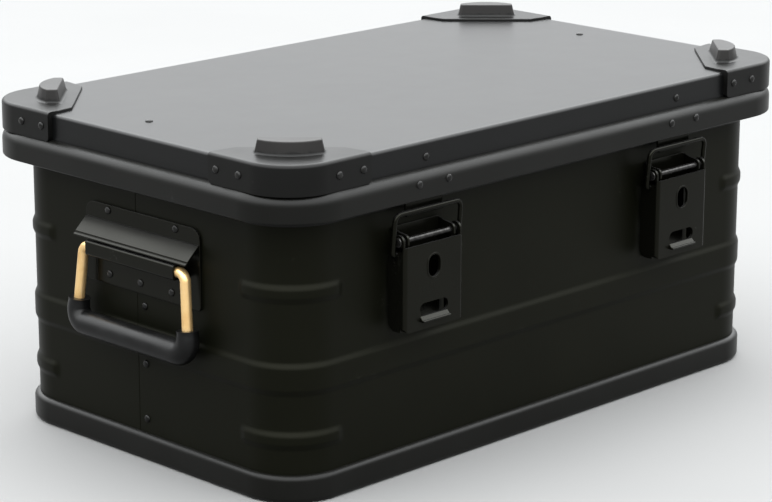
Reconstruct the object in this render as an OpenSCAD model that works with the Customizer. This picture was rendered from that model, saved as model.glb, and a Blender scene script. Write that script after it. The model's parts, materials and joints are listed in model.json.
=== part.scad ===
// Footlocker: a riveted sheet-metal transport case with a hinged lid, draw latches and bail handles.
// Millimetres. Z is up, X runs along the length, the front with the latches faces -Y.
// The origin is on the floor, under the centre of the case.

/* [Case body] */
// Length over the body's flat ends
body_l = 559; // [540:1:580]
// Depth over the body's flat front and back
body_d = 325; // [310:1:340]
// Outer corner radius of the body
body_r = 43; // [41:0.5:46]
// Thickness of the shell, lid and bottom sheets
sheet = 1.5; // [1.2:0.1:1.6]
// Height of the bottom frame
base_h = 22; // [20:0.5:24]
// How far the bottom frame stands out from the body
base_out = 4.5; // [4:0.5:5]
// Height of the bottom panel's underside, which clears the knobs of a case below
panel_z = 13; // [12:0.5:15]

/* [Lid] */
// Length over the lid's flat ends
lid_l = 582; // [570:1:590]
// Depth over the lid's flat front and back
lid_d = 348; // [336:1:356]
// Outer corner radius of the lid
lid_r = 46; // [44:0.5:48]
// Height of the lid's top face
lid_top = 263.5; // [258:0.5:270]
// Height of the lid frame's lower edge
frame_z0 = 221.5; // [221:0.5:222]
// Height of the lid frame's upper edge
frame_z1 = 243; // [242:0.5:244]
// How far the lid frame stands out from the lid
frame_out = 9; // [8.5:0.5:9]

/* [Beads] */
// How far a bead stands out from the body
bead_out = 2; // [1:0.25:2.5]
// Middle of the band bead that runs all round
band_z = 96.5; // [92:0.5:102]
// Full height of the band bead
band_h = 28; // [22:1:30]
// Middle heights of the short corner beads
corner_bead_z = [48.5, 162.5];
// Full height of a short corner bead
corner_bead_h = 17; // [12:1:20]
// Straight end of a corner bead beyond the bend
corner_bead_run = 8.5; // [4:0.5:14]

/* [Corner protectors] */
// How far a protector stands out from the lid
guard_out = 4.6; // [4:0.1:5]
// Length of a protector's leg from the lid's sharp corner
guard_leg = 80.5; // [76:0.5:84]
// Outer corner radius of a protector
guard_r = 41; // [38:0.5:44]
// Thickness of a protector's top plate
guard_top = 2.3; // [1.5:0.1:3]
// Height of a protector's lower edge
guard_z0 = 243.2; // [243.1:0.1:245]
// Height of the stacking knob above its plate
knob_h = 10.5; // [8:0.5:11]
// Radius of the knob's outer face
knob_r = 38; // [34:0.5:38.5]
// Half width of the knob
knob_half = 25.5; // [22:0.5:28]

/* [Latches] */
// Distance of each latch and hinge from the middle of the case
latch_x = 148.5; // [130:0.5:160]
// Width of the lever
lever_w = 63.4; // [60:0.2:66]
// Height of the lever's lower edge
lever_z0 = 120.5; // [118:0.5:126]
// Height of the lever's pivot
lever_axis_z = 191; // [190:0.5:192]
// Full width of the wire bail
bail_w = 75.4; // [74:0.2:78]
// Height of the bail's top bar
bail_z = 212.5; // [210:0.5:213]

/* [Handles] */
// Full width of the handle plate
plate_w = 134; // [128:1:140]
// Height of the handle plate's lower edge
plate_z0 = 135; // [132:0.5:138]
// Height of the handle plate's upper edge
plate_z1 = 199; // [196:0.5:202]
// Height of the handle's pivot
pivot_z = 165; // [163:0.5:167]
// Diameter of the handle rod
rod_d = 8.5; // [7:0.5:9]
// Diameter of the grip
grip_d = 20; // [18:0.5:20]
// Height of the grip's middle
grip_z = 103; // [102:0.5:106]
// Half width between the grip's two corners
grip_half = 66; // [64:0.5:68]

/* [Hidden] */
$fn = 48;

// Colours
black = [0.09, 0.09, 0.09];
dark = [0.16, 0.16, 0.17];
zinc = [0.86, 0.74, 0.50];
steel = [0.72, 0.73, 0.75];
rubber = [0.05, 0.05, 0.055];
webbing = [0.20, 0.22, 0.18];

// Turns that point +Z out of each face
FRONT = [90, 0, 0];
BACK = [-90, 0, 0];
LEFT = [0, -90, 0];
RIGHT = [0, 90, 0];

// Closed clearances and fits
fit = 0.05;      // running fit on a radius
cut = 0.5;       // how far a cutting shape passes the face that it opens
leg_less = 0.04; // how much thinner a bent bar's leg is than its ends

// Body section: x is measured outward from the body's face
front_y = -body_d / 2;
back_y = body_d / 2;
end_x = body_l / 2;
step_out = (lid_l - body_l) / 2;      // from the body's face to the lid's face
shell_z0 = 4;                         // lower edge of the shell, inside the bottom frame
shell_z1 = 222.5;                     // upper edge of the shell, under the rim's flange
lap = 9;                              // half width of the lap where the two half shells meet
tongue_z = [18, 207.5];               // the lap's lower and upper ends
bead_slope = 5;                       // height over which a bead rises
base_wall = 2;                        // inner wall and ledge of the bottom frame
ledge = 8;                            // width of the ledge that carries the bottom panel
ledge_rivet = 7.5;                    // how far in the ledge's rivets stand from the body's face
rim_t = 1.5;
rim_flange = 7.5;                     // how far the rim's flange reaches out of the body's face
rim_flange_t = 2.5;
rim_skirt_z = 214;
rim_inner_z = 208;
rim_lip_z = 238;

// Lid section: x is measured outward from the lid's face
flange_z = 231;                       // underside of the lid frame's inner flange
flange_t = 2.5;
flange_in = 9;                        // how far the inner flange reaches in
frame_wall = 2.5;
pocket = 2;                           // inner wall behind the lid's skirt
pocket_z = 241;
seal_gap = 0.3;
catch_out = step_out - sheet - pocket;     // catch plate's inner face, from the body's face
catch_half = 20;

// Rivets
rivet_r = 1.8;
head_r = 3.1;
head_h = 1.7;
tail_r = 3;
tail_h = 1.2;
seam_z = [33.5, 78.5, 125];
bottom_rivet_x = [-180, 0, 180];
bottom_rivet_y = [-70, 70];
guard_rivet_u = [47.5, 72];
guard_rivet_z = 254;
guard_shoulder = 20.5;                // where the protector's top plate turns to its diagonal edge
frame_rivet_x = 15.85;
frame_rivet_z = 233.7;
skirt_rivet_z = 251.3;

// Latch section: [out of the body's face, height]
lever_t = 2;
lever_face = 21;
lever_back = 2.8;
lever_z1 = 187;
lever_axis = [14, lever_axis_z];
tail_axis = [12, lever_axis_z - 10];
latch_base_t = 2;
latch_base_z = [118, 200];
latch_rivet_x = [-18, 18];
latch_rivet_z = [145, 172];
base_half = 26;
base_ear = 2;
hole_z = 168.5;                       // middle of the lever's oval hole
slot_z = 136;                         // middle of the lever's slot
lip_w = 30;
lip_z = 126.3;                        // lower edge of the pull lip under the slot
knuckle_r = 4.6;
lever_pin_r = 2.5;
pin_head = 1.5;                       // thickness of a pin's head, and how far it stands out of the pin
side_gap = 0.1;                       // between a pin's head and the lever
wire_r = 2;
bail_x = bail_w / 2 - wire_r;
bail_out = 14.5;
bail_tail_x = 28.9;
catch_z = [208, 257];
catch_hook = [1.6, 3];                // how far the catch's hook stands out, and its height

// Hinge section
hinge_axis = [25, 224];
hinge_half = 25;
hinge_knuckle = 10;
hinge_r = 4;
hinge_pin_r = 2;
leaf_t = 2;
case_leaf_z = [176, 207.5];
lid_leaf_z = [229, 241];
hinge_rivet_x = [-18, 0, 18];
case_leaf_rivet_z = 190;
lid_leaf_rivet_z = 235.5;
lid_leaf_grip = 8;                    // how deep the lid leaf's rivets go into the lid frame

// Handle section
handle_t = 2;
plate_corner = 10;
clamp_t = 2;
clamp_half = 52;
clamp_z0 = 137;
clamp_rivet_y = 36.5;
clamp_rivet_z = 144.5;
clamp_half_h = 6.2;                   // half height of the clamp's box round the rod
clamp_wall = 1.2;                     // in front of the rod
clamp_bend = 2.5;
pivot_out = 10.5;
rod_r = rod_d / 2;
rod_top_y = 59.7;
rod_tail_y = 20;
grip_out = 14;
collar_r = 8.75;
collar_z = 122;
grip_end = 8.5;                       // how far the grip's bar runs past its corners
fold_z = 186.5;
hood_out = 15.4;
hood_z = 172.9;
hood_t = 1.8;
hood_half = 66;

// Lid strap: its rest path, where the closed lid has rolled the taut strap back about the hinge
strap_x = 276.2;                      // outer face, just inside the rim
strap_t = 1.2;
strap_w = 16;
strap_low = [39.6, 194.6];            // on the handle plate's rear rivet
strap_high = [22, 242];               // on the lid's bracket
strap_end = 0.04;                     // how far each end runs on, as a part of the strap's length
lid_angle = 100;
strap_steps = 16;
tab_gap = 0.3;                        // between the strap and its bracket
tab_z0 = 234;                         // lower end of the bracket
tab_in = 246;                         // inner end of the bracket's leg on the lid
tab_rivet_x = 253;

// ---- Outlines ----

module rounded(l, d, r) {
    square([l - 2 * r, d], center = true);
    square([l, d - 2 * r], center = true);
    for (sx = [-1, 1], sy = [-1, 1])
        translate([sx * (l / 2 - r), sy * (d / 2 - r)]) circle(r);
}

module slab(l, d, r, z0, z1) {
    translate([0, 0, z0]) linear_extrude(z1 - z0) rounded(l, d, r);
}

// A slot with round ends, w long and h high
module stadium(w, h) {
    square([w - h, h], center = true);
    for (s = [-1, 1]) translate([s * (w - h) / 2, 0]) circle(h / 2);
}

// ---- Sections carried round a rounded rectangle; x points outward, y up ----

// Side q counts anticlockwise from the +X end; from and to are places along the side
module side_run(l, d, q, from, to) {
    off = q % 2 == 0 ? l / 2 : d / 2;
    rotate([0, 0, 90 * q]) translate([off, to, 0]) rotate([90, 0, 0])
        linear_extrude(to - from) children();
}

module corner_run(l, d, r, q) {
    sx = (q == 0 || q == 3) ? 1 : -1;
    sy = (q == 0 || q == 1) ? 1 : -1;
    translate([sx * (l / 2 - r), sy * (d / 2 - r), 0]) rotate([0, 0, 90 * q])
        rotate_extrude(angle = 90) translate([r, 0]) children();
}

module ring(l, d, r) {
    for (q = [0 : 3]) {
        half = q % 2 == 0 ? d / 2 - r : l / 2 - r;
        side_run(l, d, q, -half, half) children();
        corner_run(l, d, r, q) children();
    }
}

// ---- Placing ----

// Side profile in [out, height], w wide, on the front, back or left end
module front_profile(w) {
    rotate([90, 0, -90]) translate([0, 0, -w / 2]) linear_extrude(w) children();
}

module back_profile(w) {
    rotate([90, 0, 90]) translate([0, 0, -w / 2]) linear_extrude(w) children();
}

module left_profile(w) {
    rotate([90, 0, 180]) translate([0, 0, -w / 2]) linear_extrude(w) children();
}

module at_latch(side) {
    translate([side * latch_x, front_y, 0]) children();
}

module at_hinge(side) {
    translate([side * latch_x, back_y, 0]) children();
}

// Built for the left end and mirrored for the right one
module at_end(side) {
    mirror([side > 0 ? 1 : 0, 0, 0]) translate([-end_x, 0, 0]) children();
}

// Round bar between two points
module bar(p, q, r) {
    v = q - p;
    n = norm(v);
    translate(p) rotate([0, acos(v[2] / n), atan2(v[1], v[0])]) cylinder(r = r, h = n);
}

// ---- Rivets ----

// The face that the head sits on is at z = 0; grip is the thickness that the rivet holds
module rivet(grip, tail) {
    cap_r = (head_r * head_r + head_h * head_h) / (2 * head_h);
    translate([0, 0, -grip]) cylinder(r = rivet_r, h = grip);
    rotate_extrude() intersection() {
        translate([0, head_h - cap_r]) circle(cap_r);
        square([head_r, head_h]);
    }
    if (tail) translate([0, 0, -grip - tail_h]) cylinder(r = tail_r, h = tail_h);
}

module rivets(points, turn, grip, tail = true) {
    for (p = points) translate(p) rotate(turn) rivet(grip, tail);
}

module rivet_holes(points, turn, deep = 8) {
    for (p = points) translate(p) rotate(turn) cylinder(r = rivet_r, h = 2 * deep, center = true);
}

function seam_points(side) = [for (z = seam_z) [side * end_x, 0, z]];
function plate_points(side, out, places) =
    [for (k = places) [side * (end_x + out), k * strap_low[0], strap_low[1]]];
function clamp_points(side, out, places) =
    [for (k = places) [side * (end_x + out), k * clamp_rivet_y, clamp_rivet_z]];
function latch_points(side, out) =
    [for (x = latch_rivet_x, z = latch_rivet_z) [side * latch_x + x, front_y - out, z]];
function hinge_points(side, out, z) =
    [for (x = hinge_rivet_x) [side * latch_x + x, back_y + out, z]];
function catch_points(side, out) =
    [for (x = [-1, 1]) [side * latch_x + x * frame_rivet_x, front_y - out, frame_rivet_z]];
function skirt_point(side, out) = [[side * latch_x, front_y - out, skirt_rivet_z]];
function guard_long(side, face, out) =
    [for (u = guard_rivet_u) [side * (lid_l / 2 - u), face * (lid_d / 2 + out), guard_rivet_z]];
function guard_short(side, face, out) =
    [for (u = guard_rivet_u) [side * (lid_l / 2 + out), face * (lid_d / 2 - u), guard_rivet_z]];
function bottom_points() = concat(
    [for (x = bottom_rivet_x, s = [-1, 1]) [x, s * (body_d / 2 - ledge_rivet), panel_z + sheet]],
    [for (y = bottom_rivet_y, s = [-1, 1]) [s * (body_l / 2 - ledge_rivet), y, panel_z + sheet]]);

// ---- Body ----

// Outward step of a bead of height h about z, as a list of section points
function bead(z, h) = [
    [0, z - h / 2], [bead_out, z - h / 2 + bead_slope],
    [bead_out, z + h / 2 - bead_slope], [0, z + h / 2]];

function shell_face(corner) = concat(
    [[0, shell_z0]],
    corner ? bead(corner_bead_z[0], corner_bead_h) : [],
    bead(band_z, band_h),
    corner ? bead(corner_bead_z[1], corner_bead_h) : [],
    [[0, shell_z1]]);

// Sheet section, its thickness measured inward from the face
module shell_section(corner, inset = 0) {
    face = shell_face(corner);
    n = len(face);
    polygon(concat(
        [for (p = face) p - [inset, 0]],
        [for (i = [1 : n]) face[n - i] - [inset + sheet, 0]]));
}

// The half on side face (-1 front, 1 rear); its ends stop at seam_y
module half_shell(face, seam_y) {
    long_half = body_l / 2 - body_r;
    short_half = body_d / 2 - body_r;
    q = face > 0 ? 1 : 3;
    run = long_half - corner_bead_run;
    side_run(body_l, body_d, q, -run, run) shell_section(false);
    for (s = [0, 1]) mirror([s, 0, 0]) {
        side_run(body_l, body_d, q, face > 0 ? -long_half : run, face > 0 ? -run : long_half)
            shell_section(true);
        corner_run(body_l, body_d, body_r, face > 0 ? 0 : 3) shell_section(true);
        near = short_half - corner_bead_run;
        side_run(body_l, body_d, 0, face > 0 ? near : -short_half, face > 0 ? short_half : -near)
            shell_section(true);
        side_run(body_l, body_d, 0, face > 0 ? seam_y : -near, face > 0 ? near : seam_y)
            shell_section(false);
    }
}

module front_shell() color(black) difference() {
    half_shell(-1, lap);
    for (s = [-1, 1]) {
        rivet_holes(seam_points(s), s > 0 ? RIGHT : LEFT);
        rivet_holes(plate_points(s, 0, [-1]), s > 0 ? RIGHT : LEFT);
        rivet_holes(clamp_points(s, 0, [-1, 0]), s > 0 ? RIGHT : LEFT);
        rivet_holes(latch_points(s, 0), FRONT);
    }
}

module rear_shell() color(black) difference() {
    union() {
        half_shell(1, lap);
        // the tongue that laps behind the front half, between the bottom frame and the rim
        for (s = [0, 1]) mirror([s, 0, 0])
            side_run(body_l, body_d, 0, -lap, lap + 3) intersection() {
                shell_section(false, sheet);
                translate([-lap, tongue_z[0]]) square([2 * lap, tongue_z[1] - tongue_z[0]]);
            }
    }
    for (s = [-1, 1]) {
        rivet_holes(seam_points(s), s > 0 ? RIGHT : LEFT);
        rivet_holes(plate_points(s, 0, [1]), s > 0 ? RIGHT : LEFT);
        rivet_holes(clamp_points(s, 0, [0, 1]), s > 0 ? RIGHT : LEFT);
        rivet_holes(hinge_points(s, 0, case_leaf_rivet_z), BACK);
    }
}

module bottom_panel() color(dark) difference() {
    slab(body_l - 2 * (sheet + base_wall), body_d - 2 * (sheet + base_wall), body_r - sheet - base_wall,
        panel_z, panel_z + sheet);
    rivet_holes(bottom_points(), [0, 0, 0]);
}

// Bullnosed outside, a groove for the shell, and a ledge for the bottom panel
module base_section() {
    nose = base_out;
    inner = sheet + base_wall;
    difference() {
        union() {
            translate([-inner, 0]) square([inner, base_h - nose]);
            translate([0, nose]) square([nose, base_h - 2 * nose]);
            for (z = [nose, base_h - nose]) translate([0, z]) intersection() {
                circle(nose);
                translate([0, -nose]) square([nose, 2 * nose]);
            }
        }
        translate([-sheet, shell_z0]) square([sheet, base_h]);
    }
    translate([-inner - ledge, panel_z - sheet]) square([ledge, sheet]);
}

module bottom_frame() color(dark) difference() {
    ring(body_l, body_d, body_r) base_section();
    rivet_holes(bottom_points(), [0, 0, 0]);
}

module rim_section() {
    translate([-sheet - rim_t, rim_inner_z]) square([rim_t, rim_lip_z - rim_inner_z]);
    translate([-sheet - rim_t, shell_z1]) square([sheet + rim_t + rim_flange, rim_flange_t]);
    translate([0, rim_skirt_z]) square([rim_t, shell_z1 - rim_skirt_z]);
}

module case_rim() color(dark) ring(body_l, body_d, body_r) rim_section();

module seam_rivets() color(black)
    for (s = [-1, 1]) rivets(seam_points(s), s > 0 ? RIGHT : LEFT, 2 * sheet);

module bottom_rivets() color(black) rivets(bottom_points(), [0, 0, 0], 2 * sheet);

// ---- Latches ----

module latch_base(side) color(black) at_latch(side) difference() {
    union() {
        front_profile(2 * base_half)
            translate([0, latch_base_z[0]]) square([latch_base_t, latch_base_z[1] - latch_base_z[0]]);
        for (s = [-1, 1]) translate([s * (base_half - base_ear / 2), 0, 0]) front_profile(base_ear) {
            polygon([[0, 176], [0, 199], [8, 197], lever_axis + [3, 3], lever_axis + [3, -3], [8, 181]]);
            translate(lever_axis) circle(knuckle_r);
        }
    }
    front_profile(2 * base_half + 2) translate(lever_axis) circle(lever_pin_r);
    translate([-side * latch_x, -front_y, 0]) rivet_holes(latch_points(side, 0), FRONT);
}

module latch_pin(side) color(steel) at_latch(side) {
    front_profile(lever_w + pin_head) translate(lever_axis) circle(lever_pin_r);
    for (s = [-1, 1]) translate([s * (lever_w / 2 + side_gap + pin_head / 2), 0, 0])
        front_profile(pin_head) translate(lever_axis) circle(lever_pin_r + pin_head);
}

module latch_rivets() color(black)
    for (s = [-1, 1]) rivets(latch_points(s, latch_base_t), FRONT, latch_base_t + sheet);

module lever_flange() {
    polygon([[lever_back, lever_z0 + 5], [lever_back, 178], [9, lever_axis_z], [lever_face - 2, lever_axis_z],
        [lever_face, lever_z1], [lever_face, lever_z0], [8, lever_z0]]);
    translate(lever_axis) circle(5.5);
}

module latch_lever(side) color(black) at_latch(side) {
    difference() {
        union() {
            front_profile(lever_w)
                translate([lever_face - lever_t, lever_z0]) square([lever_t, lever_z1 - lever_z0]);
            for (s = [-1, 1]) translate([s * (lever_w - lever_t) / 2, 0, 0])
                front_profile(lever_t) lever_flange();
            front_profile(lip_w) polygon([[lever_face, lip_z], [24.4, lip_z + 1], [25.4, lip_z + 2.5],
                [24.6, lip_z + 3.5], [lever_face, lip_z + 4.5]]);
        }
        front_profile(lever_w + 2) translate(lever_axis) circle(lever_pin_r + fit);
        front_profile(lever_w + 2) translate(tail_axis) circle(wire_r + fit);
        translate([0, -lever_face + lever_t + cut, hole_z]) rotate(FRONT) rotate([0, 0, 90])
            linear_extrude(10) stadium(17.5, 13);
        translate([0, -lever_face + lever_t + cut, slot_z]) rotate(FRONT)
            linear_extrude(10) stadium(31, 10);
    }
}

module latch_bail(side) color(black) at_latch(side) {
    bar([-bail_x - wire_r, -bail_out, bail_z], [bail_x + wire_r, -bail_out, bail_z], wire_r);
    for (s = [-1, 1]) {
        foot = [s * bail_x, -tail_axis[0], tail_axis[1]];
        bar(foot, [s * bail_x, -bail_out, bail_z], wire_r - leg_less);
        bar([s * bail_tail_x, foot[1], foot[2]], [s * (bail_x + wire_r), foot[1], foot[2]], wire_r);
    }
}

module catch(side) color(black) difference() {
    at_latch(side) front_profile(2 * catch_half) {
        translate([catch_out, catch_z[0]]) square([pocket, catch_z[1] - catch_z[0]]);
        translate([catch_out, catch_z[0]]) square([pocket + catch_hook[0], catch_hook[1]]);
    }
    rivet_holes(catch_points(side, step_out), FRONT);
    rivet_holes(skirt_point(side, step_out), FRONT);
}

module catch_rivets() color(steel) for (s = [-1, 1]) {
    rivets(catch_points(s, step_out + frame_out), FRONT, frame_out + sheet + pocket, false);
    rivets(skirt_point(s, step_out), FRONT, sheet + pocket);
}

// ---- Handles ----

module handle_plate(side) color(black) difference() {
    at_end(side) {
        rotate(LEFT) linear_extrude(handle_t) {
            // turned so that x is height and y is across
            translate([plate_z0, -plate_w / 2]) square([plate_z1 - plate_z0 - plate_corner, plate_w]);
            translate([plate_z1 - plate_corner, plate_corner - plate_w / 2])
                square([plate_corner, plate_w - 2 * plate_corner]);
            for (s = [-1, 1])
                translate([plate_z1 - plate_corner, s * (plate_w / 2 - plate_corner)]) circle(plate_corner);
        }
        left_profile(2 * hood_half) polygon([
            [handle_t, fold_z], [hood_out, hood_z + hood_t], [hood_out + 0.6, hood_z],
            [hood_out - 0.8, hood_z - 0.6], [hood_out - 1.6, hood_z + 0.4], [handle_t, fold_z - 2.4]]);
    }
    rivet_holes(plate_points(side, 0, [-1, 1]), side > 0 ? RIGHT : LEFT);
    rivet_holes(clamp_points(side, 0, [-1, 0, 1]), side > 0 ? RIGHT : LEFT);
}

module handle_clamp(side) color(black) difference() {
    front = pivot_out + rod_r + clamp_wall;
    at_end(side) left_profile(2 * clamp_half) difference() {
        union() {
            translate([handle_t, clamp_z0]) square([clamp_t, pivot_z - clamp_z0]);
            translate([handle_t, pivot_z - clamp_half_h])
                square([front - clamp_bend - handle_t, 2 * clamp_half_h]);
            translate([handle_t, pivot_z + clamp_bend - clamp_half_h])
                square([front - handle_t, 2 * (clamp_half_h - clamp_bend)]);
            for (k = [-1, 1])
                translate([front - clamp_bend, pivot_z + k * (clamp_half_h - clamp_bend)]) circle(clamp_bend);
        }
        translate([pivot_out, pivot_z]) circle(rod_r + fit);
    }
    rivet_holes(clamp_points(side, handle_t, [-1, 0, 1]), side > 0 ? RIGHT : LEFT);
}

module handle_rivets() color(steel) for (s = [-1, 1]) {
    turn = s > 0 ? RIGHT : LEFT;
    rivets(plate_points(s, handle_t, [-1]), turn, handle_t + sheet);
    // the rear one also holds the lid's strap
    rivets(plate_points(s, handle_t, [1]), turn, handle_t + end_x - strap_x + strap_t);
    rivets(clamp_points(s, handle_t + clamp_t, [-1, 1]), turn, handle_t + clamp_t + sheet);
    rivets(clamp_points(s, handle_t + clamp_t, [0]), turn, handle_t + clamp_t + 2 * sheet);
}

// The rod's two tails, two splayed legs and cross bar
module rod_path() {
    end = rod_r + 0.4;
    bar([-grip_out, -grip_half - end, grip_z], [-grip_out, grip_half + end, grip_z], rod_r);
    for (s = [-1, 1]) {
        bar([-pivot_out, s * rod_tail_y, pivot_z], [-pivot_out, s * (rod_top_y + end), pivot_z], rod_r);
        bar([-pivot_out, s * rod_top_y, pivot_z], [-grip_out, s * grip_half, grip_z], rod_r - leg_less);
    }
}

module handle_bail(side) color(zinc) at_end(side) rod_path();

module handle_grip(side) color(rubber) at_end(side) {
    share = (collar_z - grip_z) / (pivot_z - grip_z);
    end = grip_half + grip_end;
    difference() {
        union() {
            bar([-grip_out, -end, grip_z], [-grip_out, end, grip_z], grip_d / 2);
            for (s = [-1, 1]) bar([-grip_out, s * grip_half, grip_z],
                [-grip_out + share * (grip_out - pivot_out),
                    s * (grip_half - share * (grip_half - rod_top_y)), collar_z], collar_r);
        }
        rod_path();
    }
}

// ---- Hinges ----

module hinge_case_leaf(side) color(black) difference() {
    at_hinge(side) difference() {
        union() {
            back_profile(2 * hinge_half)
                polygon([[0, case_leaf_z[0]], [leaf_t, case_leaf_z[0]], [leaf_t, case_leaf_z[1] - 3],
                    [17, 214], [16, 216.5], [leaf_t, case_leaf_z[1]], [0, case_leaf_z[1]]]);
            for (s = [-1, 1])
                translate([s * (hinge_half + hinge_knuckle) / 2, 0, 0])
                    back_profile(hinge_half - hinge_knuckle) {
                        polygon([[15, 212.7], [14.5, 215.6], [20.6, 219.6], [21.2, 224],
                            [28.8, 224], [28, 220.5], [24, 217]]);
                        translate(hinge_axis) circle(hinge_r);
                    }
        }
        back_profile(2 * hinge_half + 2) translate(hinge_axis) circle(hinge_pin_r);
    }
    rivet_holes(hinge_points(side, 0, case_leaf_rivet_z), BACK);
}

module hinge_lid_leaf(side) color(black) difference() {
    at_hinge(side) difference() {
        union() {
            back_profile(2 * hinge_half)
                translate([step_out + frame_out, lid_leaf_z[0]])
                    square([leaf_t, lid_leaf_z[1] - lid_leaf_z[0]]);
            back_profile(2 * hinge_knuckle - 0.4) {
                polygon([[21, 224], [step_out + frame_out, 227], [step_out + frame_out, 230],
                    [step_out + frame_out + leaf_t, 230], [27, 227]]);
                translate(hinge_axis) circle(hinge_r);
            }
        }
        back_profile(2 * hinge_half + 2) translate(hinge_axis) circle(hinge_pin_r + fit);
    }
    rivet_holes(hinge_points(side, step_out + frame_out, lid_leaf_rivet_z), BACK);
}

module hinge_pin(side) color(steel) at_hinge(side) {
    back_profile(2 * hinge_half) translate(hinge_axis) circle(hinge_pin_r);
    for (s = [-1, 1]) translate([s * (hinge_half + pin_head / 2), 0, 0])
        back_profile(pin_head) translate(hinge_axis) circle(hinge_pin_r + 1);
}

module hinge_case_rivets() color(black)
    for (s = [-1, 1]) rivets(hinge_points(s, leaf_t, case_leaf_rivet_z), BACK, leaf_t + sheet);

module hinge_lid_rivets() color(black)
    for (s = [-1, 1])
        rivets(hinge_points(s, step_out + frame_out + leaf_t, lid_leaf_rivet_z), BACK,
            leaf_t + lid_leaf_grip, false);

// ---- Lid ----

module lid_holes() {
    for (s = [-1, 1]) {
        rivet_holes(catch_points(s, step_out), FRONT, 12);
        rivet_holes(skirt_point(s, step_out), FRONT);
        rivet_holes(strap_lid_point(s), [0, 0, 0]);
        for (f = [-1, 1]) {
            rivet_holes(guard_long(s, f, 0), f > 0 ? BACK : FRONT);
            rivet_holes(guard_short(s, f, 0), s > 0 ? RIGHT : LEFT);
        }
    }
}

module lid_panel() color(dark) difference() {
    slab(lid_l, lid_d, lid_r, flange_z + flange_t, lid_top);
    slab(lid_l - 2 * sheet, lid_d - 2 * sheet, lid_r - sheet, flange_z, lid_top - sheet);
    lid_holes();
}

// A bullnosed head that hangs over the body, with a flange for the seal and a pocket for the lid's skirt
module frame_section() {
    nose = frame_out;
    tip = frame_wall;
    difference() {
        union() {
            translate([-sheet - pocket, flange_z]) square([sheet + pocket, pocket_z - flange_z]);
            translate([0, flange_z]) square([nose, frame_z1 - nose - flange_z]);
            translate([0, frame_z1 - nose]) intersection() {
                circle(nose);
                square(nose);
            }
            translate([nose - tip, frame_z0 + tip]) square([tip, flange_z - frame_z0 - tip]);
            translate([nose - tip, frame_z0 + tip]) intersection() {
                circle(tip);
                translate([0, -tip]) square(tip);
            }
            translate([-flange_in, flange_z]) square([flange_in, flange_t]);
        }
        translate([-sheet, flange_z + flange_t]) square([sheet, pocket_z]);
    }
}

module lid_frame() color(dark) difference() {
    ring(lid_l, lid_d, lid_r) frame_section();
    for (s = [-1, 1]) {
        at_latch(s) front_profile(2 * catch_half)
            translate([catch_out, frame_z0]) square([pocket, frame_z1 - frame_z0]);
        rivet_holes(catch_points(s, step_out), FRONT, 12);
        blind_holes(hinge_points(s, step_out + frame_out, lid_leaf_rivet_z), BACK, lid_leaf_grip);
    }
}

// Blind holes as deep as the rivets that fill them
module blind_holes(points, turn, deep) {
    for (p = points) translate(p) rotate(turn) translate([0, 0, -deep]) cylinder(r = rivet_r, h = deep);
}

module seal_section() {
    translate([-flange_in, shell_z1 + rim_flange_t + seal_gap])
        square([4.5, flange_z - shell_z1 - rim_flange_t - seal_gap]);
}

module lid_seal() color(rubber) ring(lid_l, lid_d, lid_r) seal_section();

// ---- Corner protectors ----

// Built for the corner at -X -Y; u and v are measured from the lid's sharp corner along X and Y
module guard_outline() {
    c = guard_r - guard_out;
    translate([c, c]) circle(guard_r);
    translate([c, -guard_out]) square([guard_leg - c, guard_r]);
    translate([-guard_out, c]) square([guard_r, guard_leg - c]);
}

module corner_guard(sx, sy) color(black) mirror([sx > 0 ? 1 : 0, 0, 0]) mirror([0, sy > 0 ? 1 : 0, 0])
    translate([-lid_l / 2, -lid_d / 2, 0]) {
        difference() {
            translate([0, 0, guard_z0]) linear_extrude(lid_top - guard_z0) guard_outline();
            // the lid itself, which fills everything inside its own outline
            translate([0, 0, guard_z0 - cut]) linear_extrude(lid_top - guard_z0 + 2 * cut) {
                translate([lid_r, lid_r]) circle(lid_r);
                translate([lid_r, 0]) square([guard_leg, 2 * guard_leg]);
                translate([0, lid_r]) square([guard_leg, 2 * guard_leg]);
            }
            rivet_holes([for (u = guard_rivet_u) [u, -guard_out, guard_rivet_z]], FRONT);
            rivet_holes([for (u = guard_rivet_u) [-guard_out, u, guard_rivet_z]], LEFT);
        }
        translate([0, 0, lid_top]) linear_extrude(guard_top) intersection() {
            union() {
                guard_outline();
                translate([guard_r - guard_out, guard_r - guard_out]) square(guard_leg);
            }
            polygon([[-guard_out, -guard_out], [guard_leg, -guard_out], [guard_leg, 0],
                [guard_leg - 1, guard_shoulder], [guard_shoulder, guard_leg - 1],
                [0, guard_leg], [-guard_out, guard_leg]]);
        }
        knob();
    }

// A drafted D whose round face is centred on the body's corner, so it nests inside a bottom frame above
module knob() {
    c = step_out + body_r;
    flat_at = 17.8;
    draft = 1.8;
    translate([c, c, lid_top + guard_top]) rotate([0, 0, 225]) intersection() {
        cylinder(r1 = knob_r, r2 = knob_r - draft, h = knob_h);
        rotate([90, 0, 0]) translate([0, 0, -knob_half]) linear_extrude(2 * knob_half)
            polygon([[flat_at, 0], [knob_r, 0], [knob_r, knob_h], [flat_at + draft, knob_h]]);
        rotate([90, 0, 90]) linear_extrude(knob_r)
            polygon([[-knob_half, 0], [knob_half, 0], [knob_half - draft, knob_h],
                [-knob_half + draft, knob_h]]);
    }
}

module guard_rivets() color(steel) for (s = [-1, 1], f = [-1, 1]) {
    rivets(guard_long(s, f, guard_out), f > 0 ? BACK : FRONT, guard_out + sheet);
    rivets(guard_short(s, f, guard_out), s > 0 ? RIGHT : LEFT, guard_out + sheet);
}

// ---- Lid straps ----

function strap_lid_point(side) = [[side * tab_rivet_x, strap_high[0], lid_top]];

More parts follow.
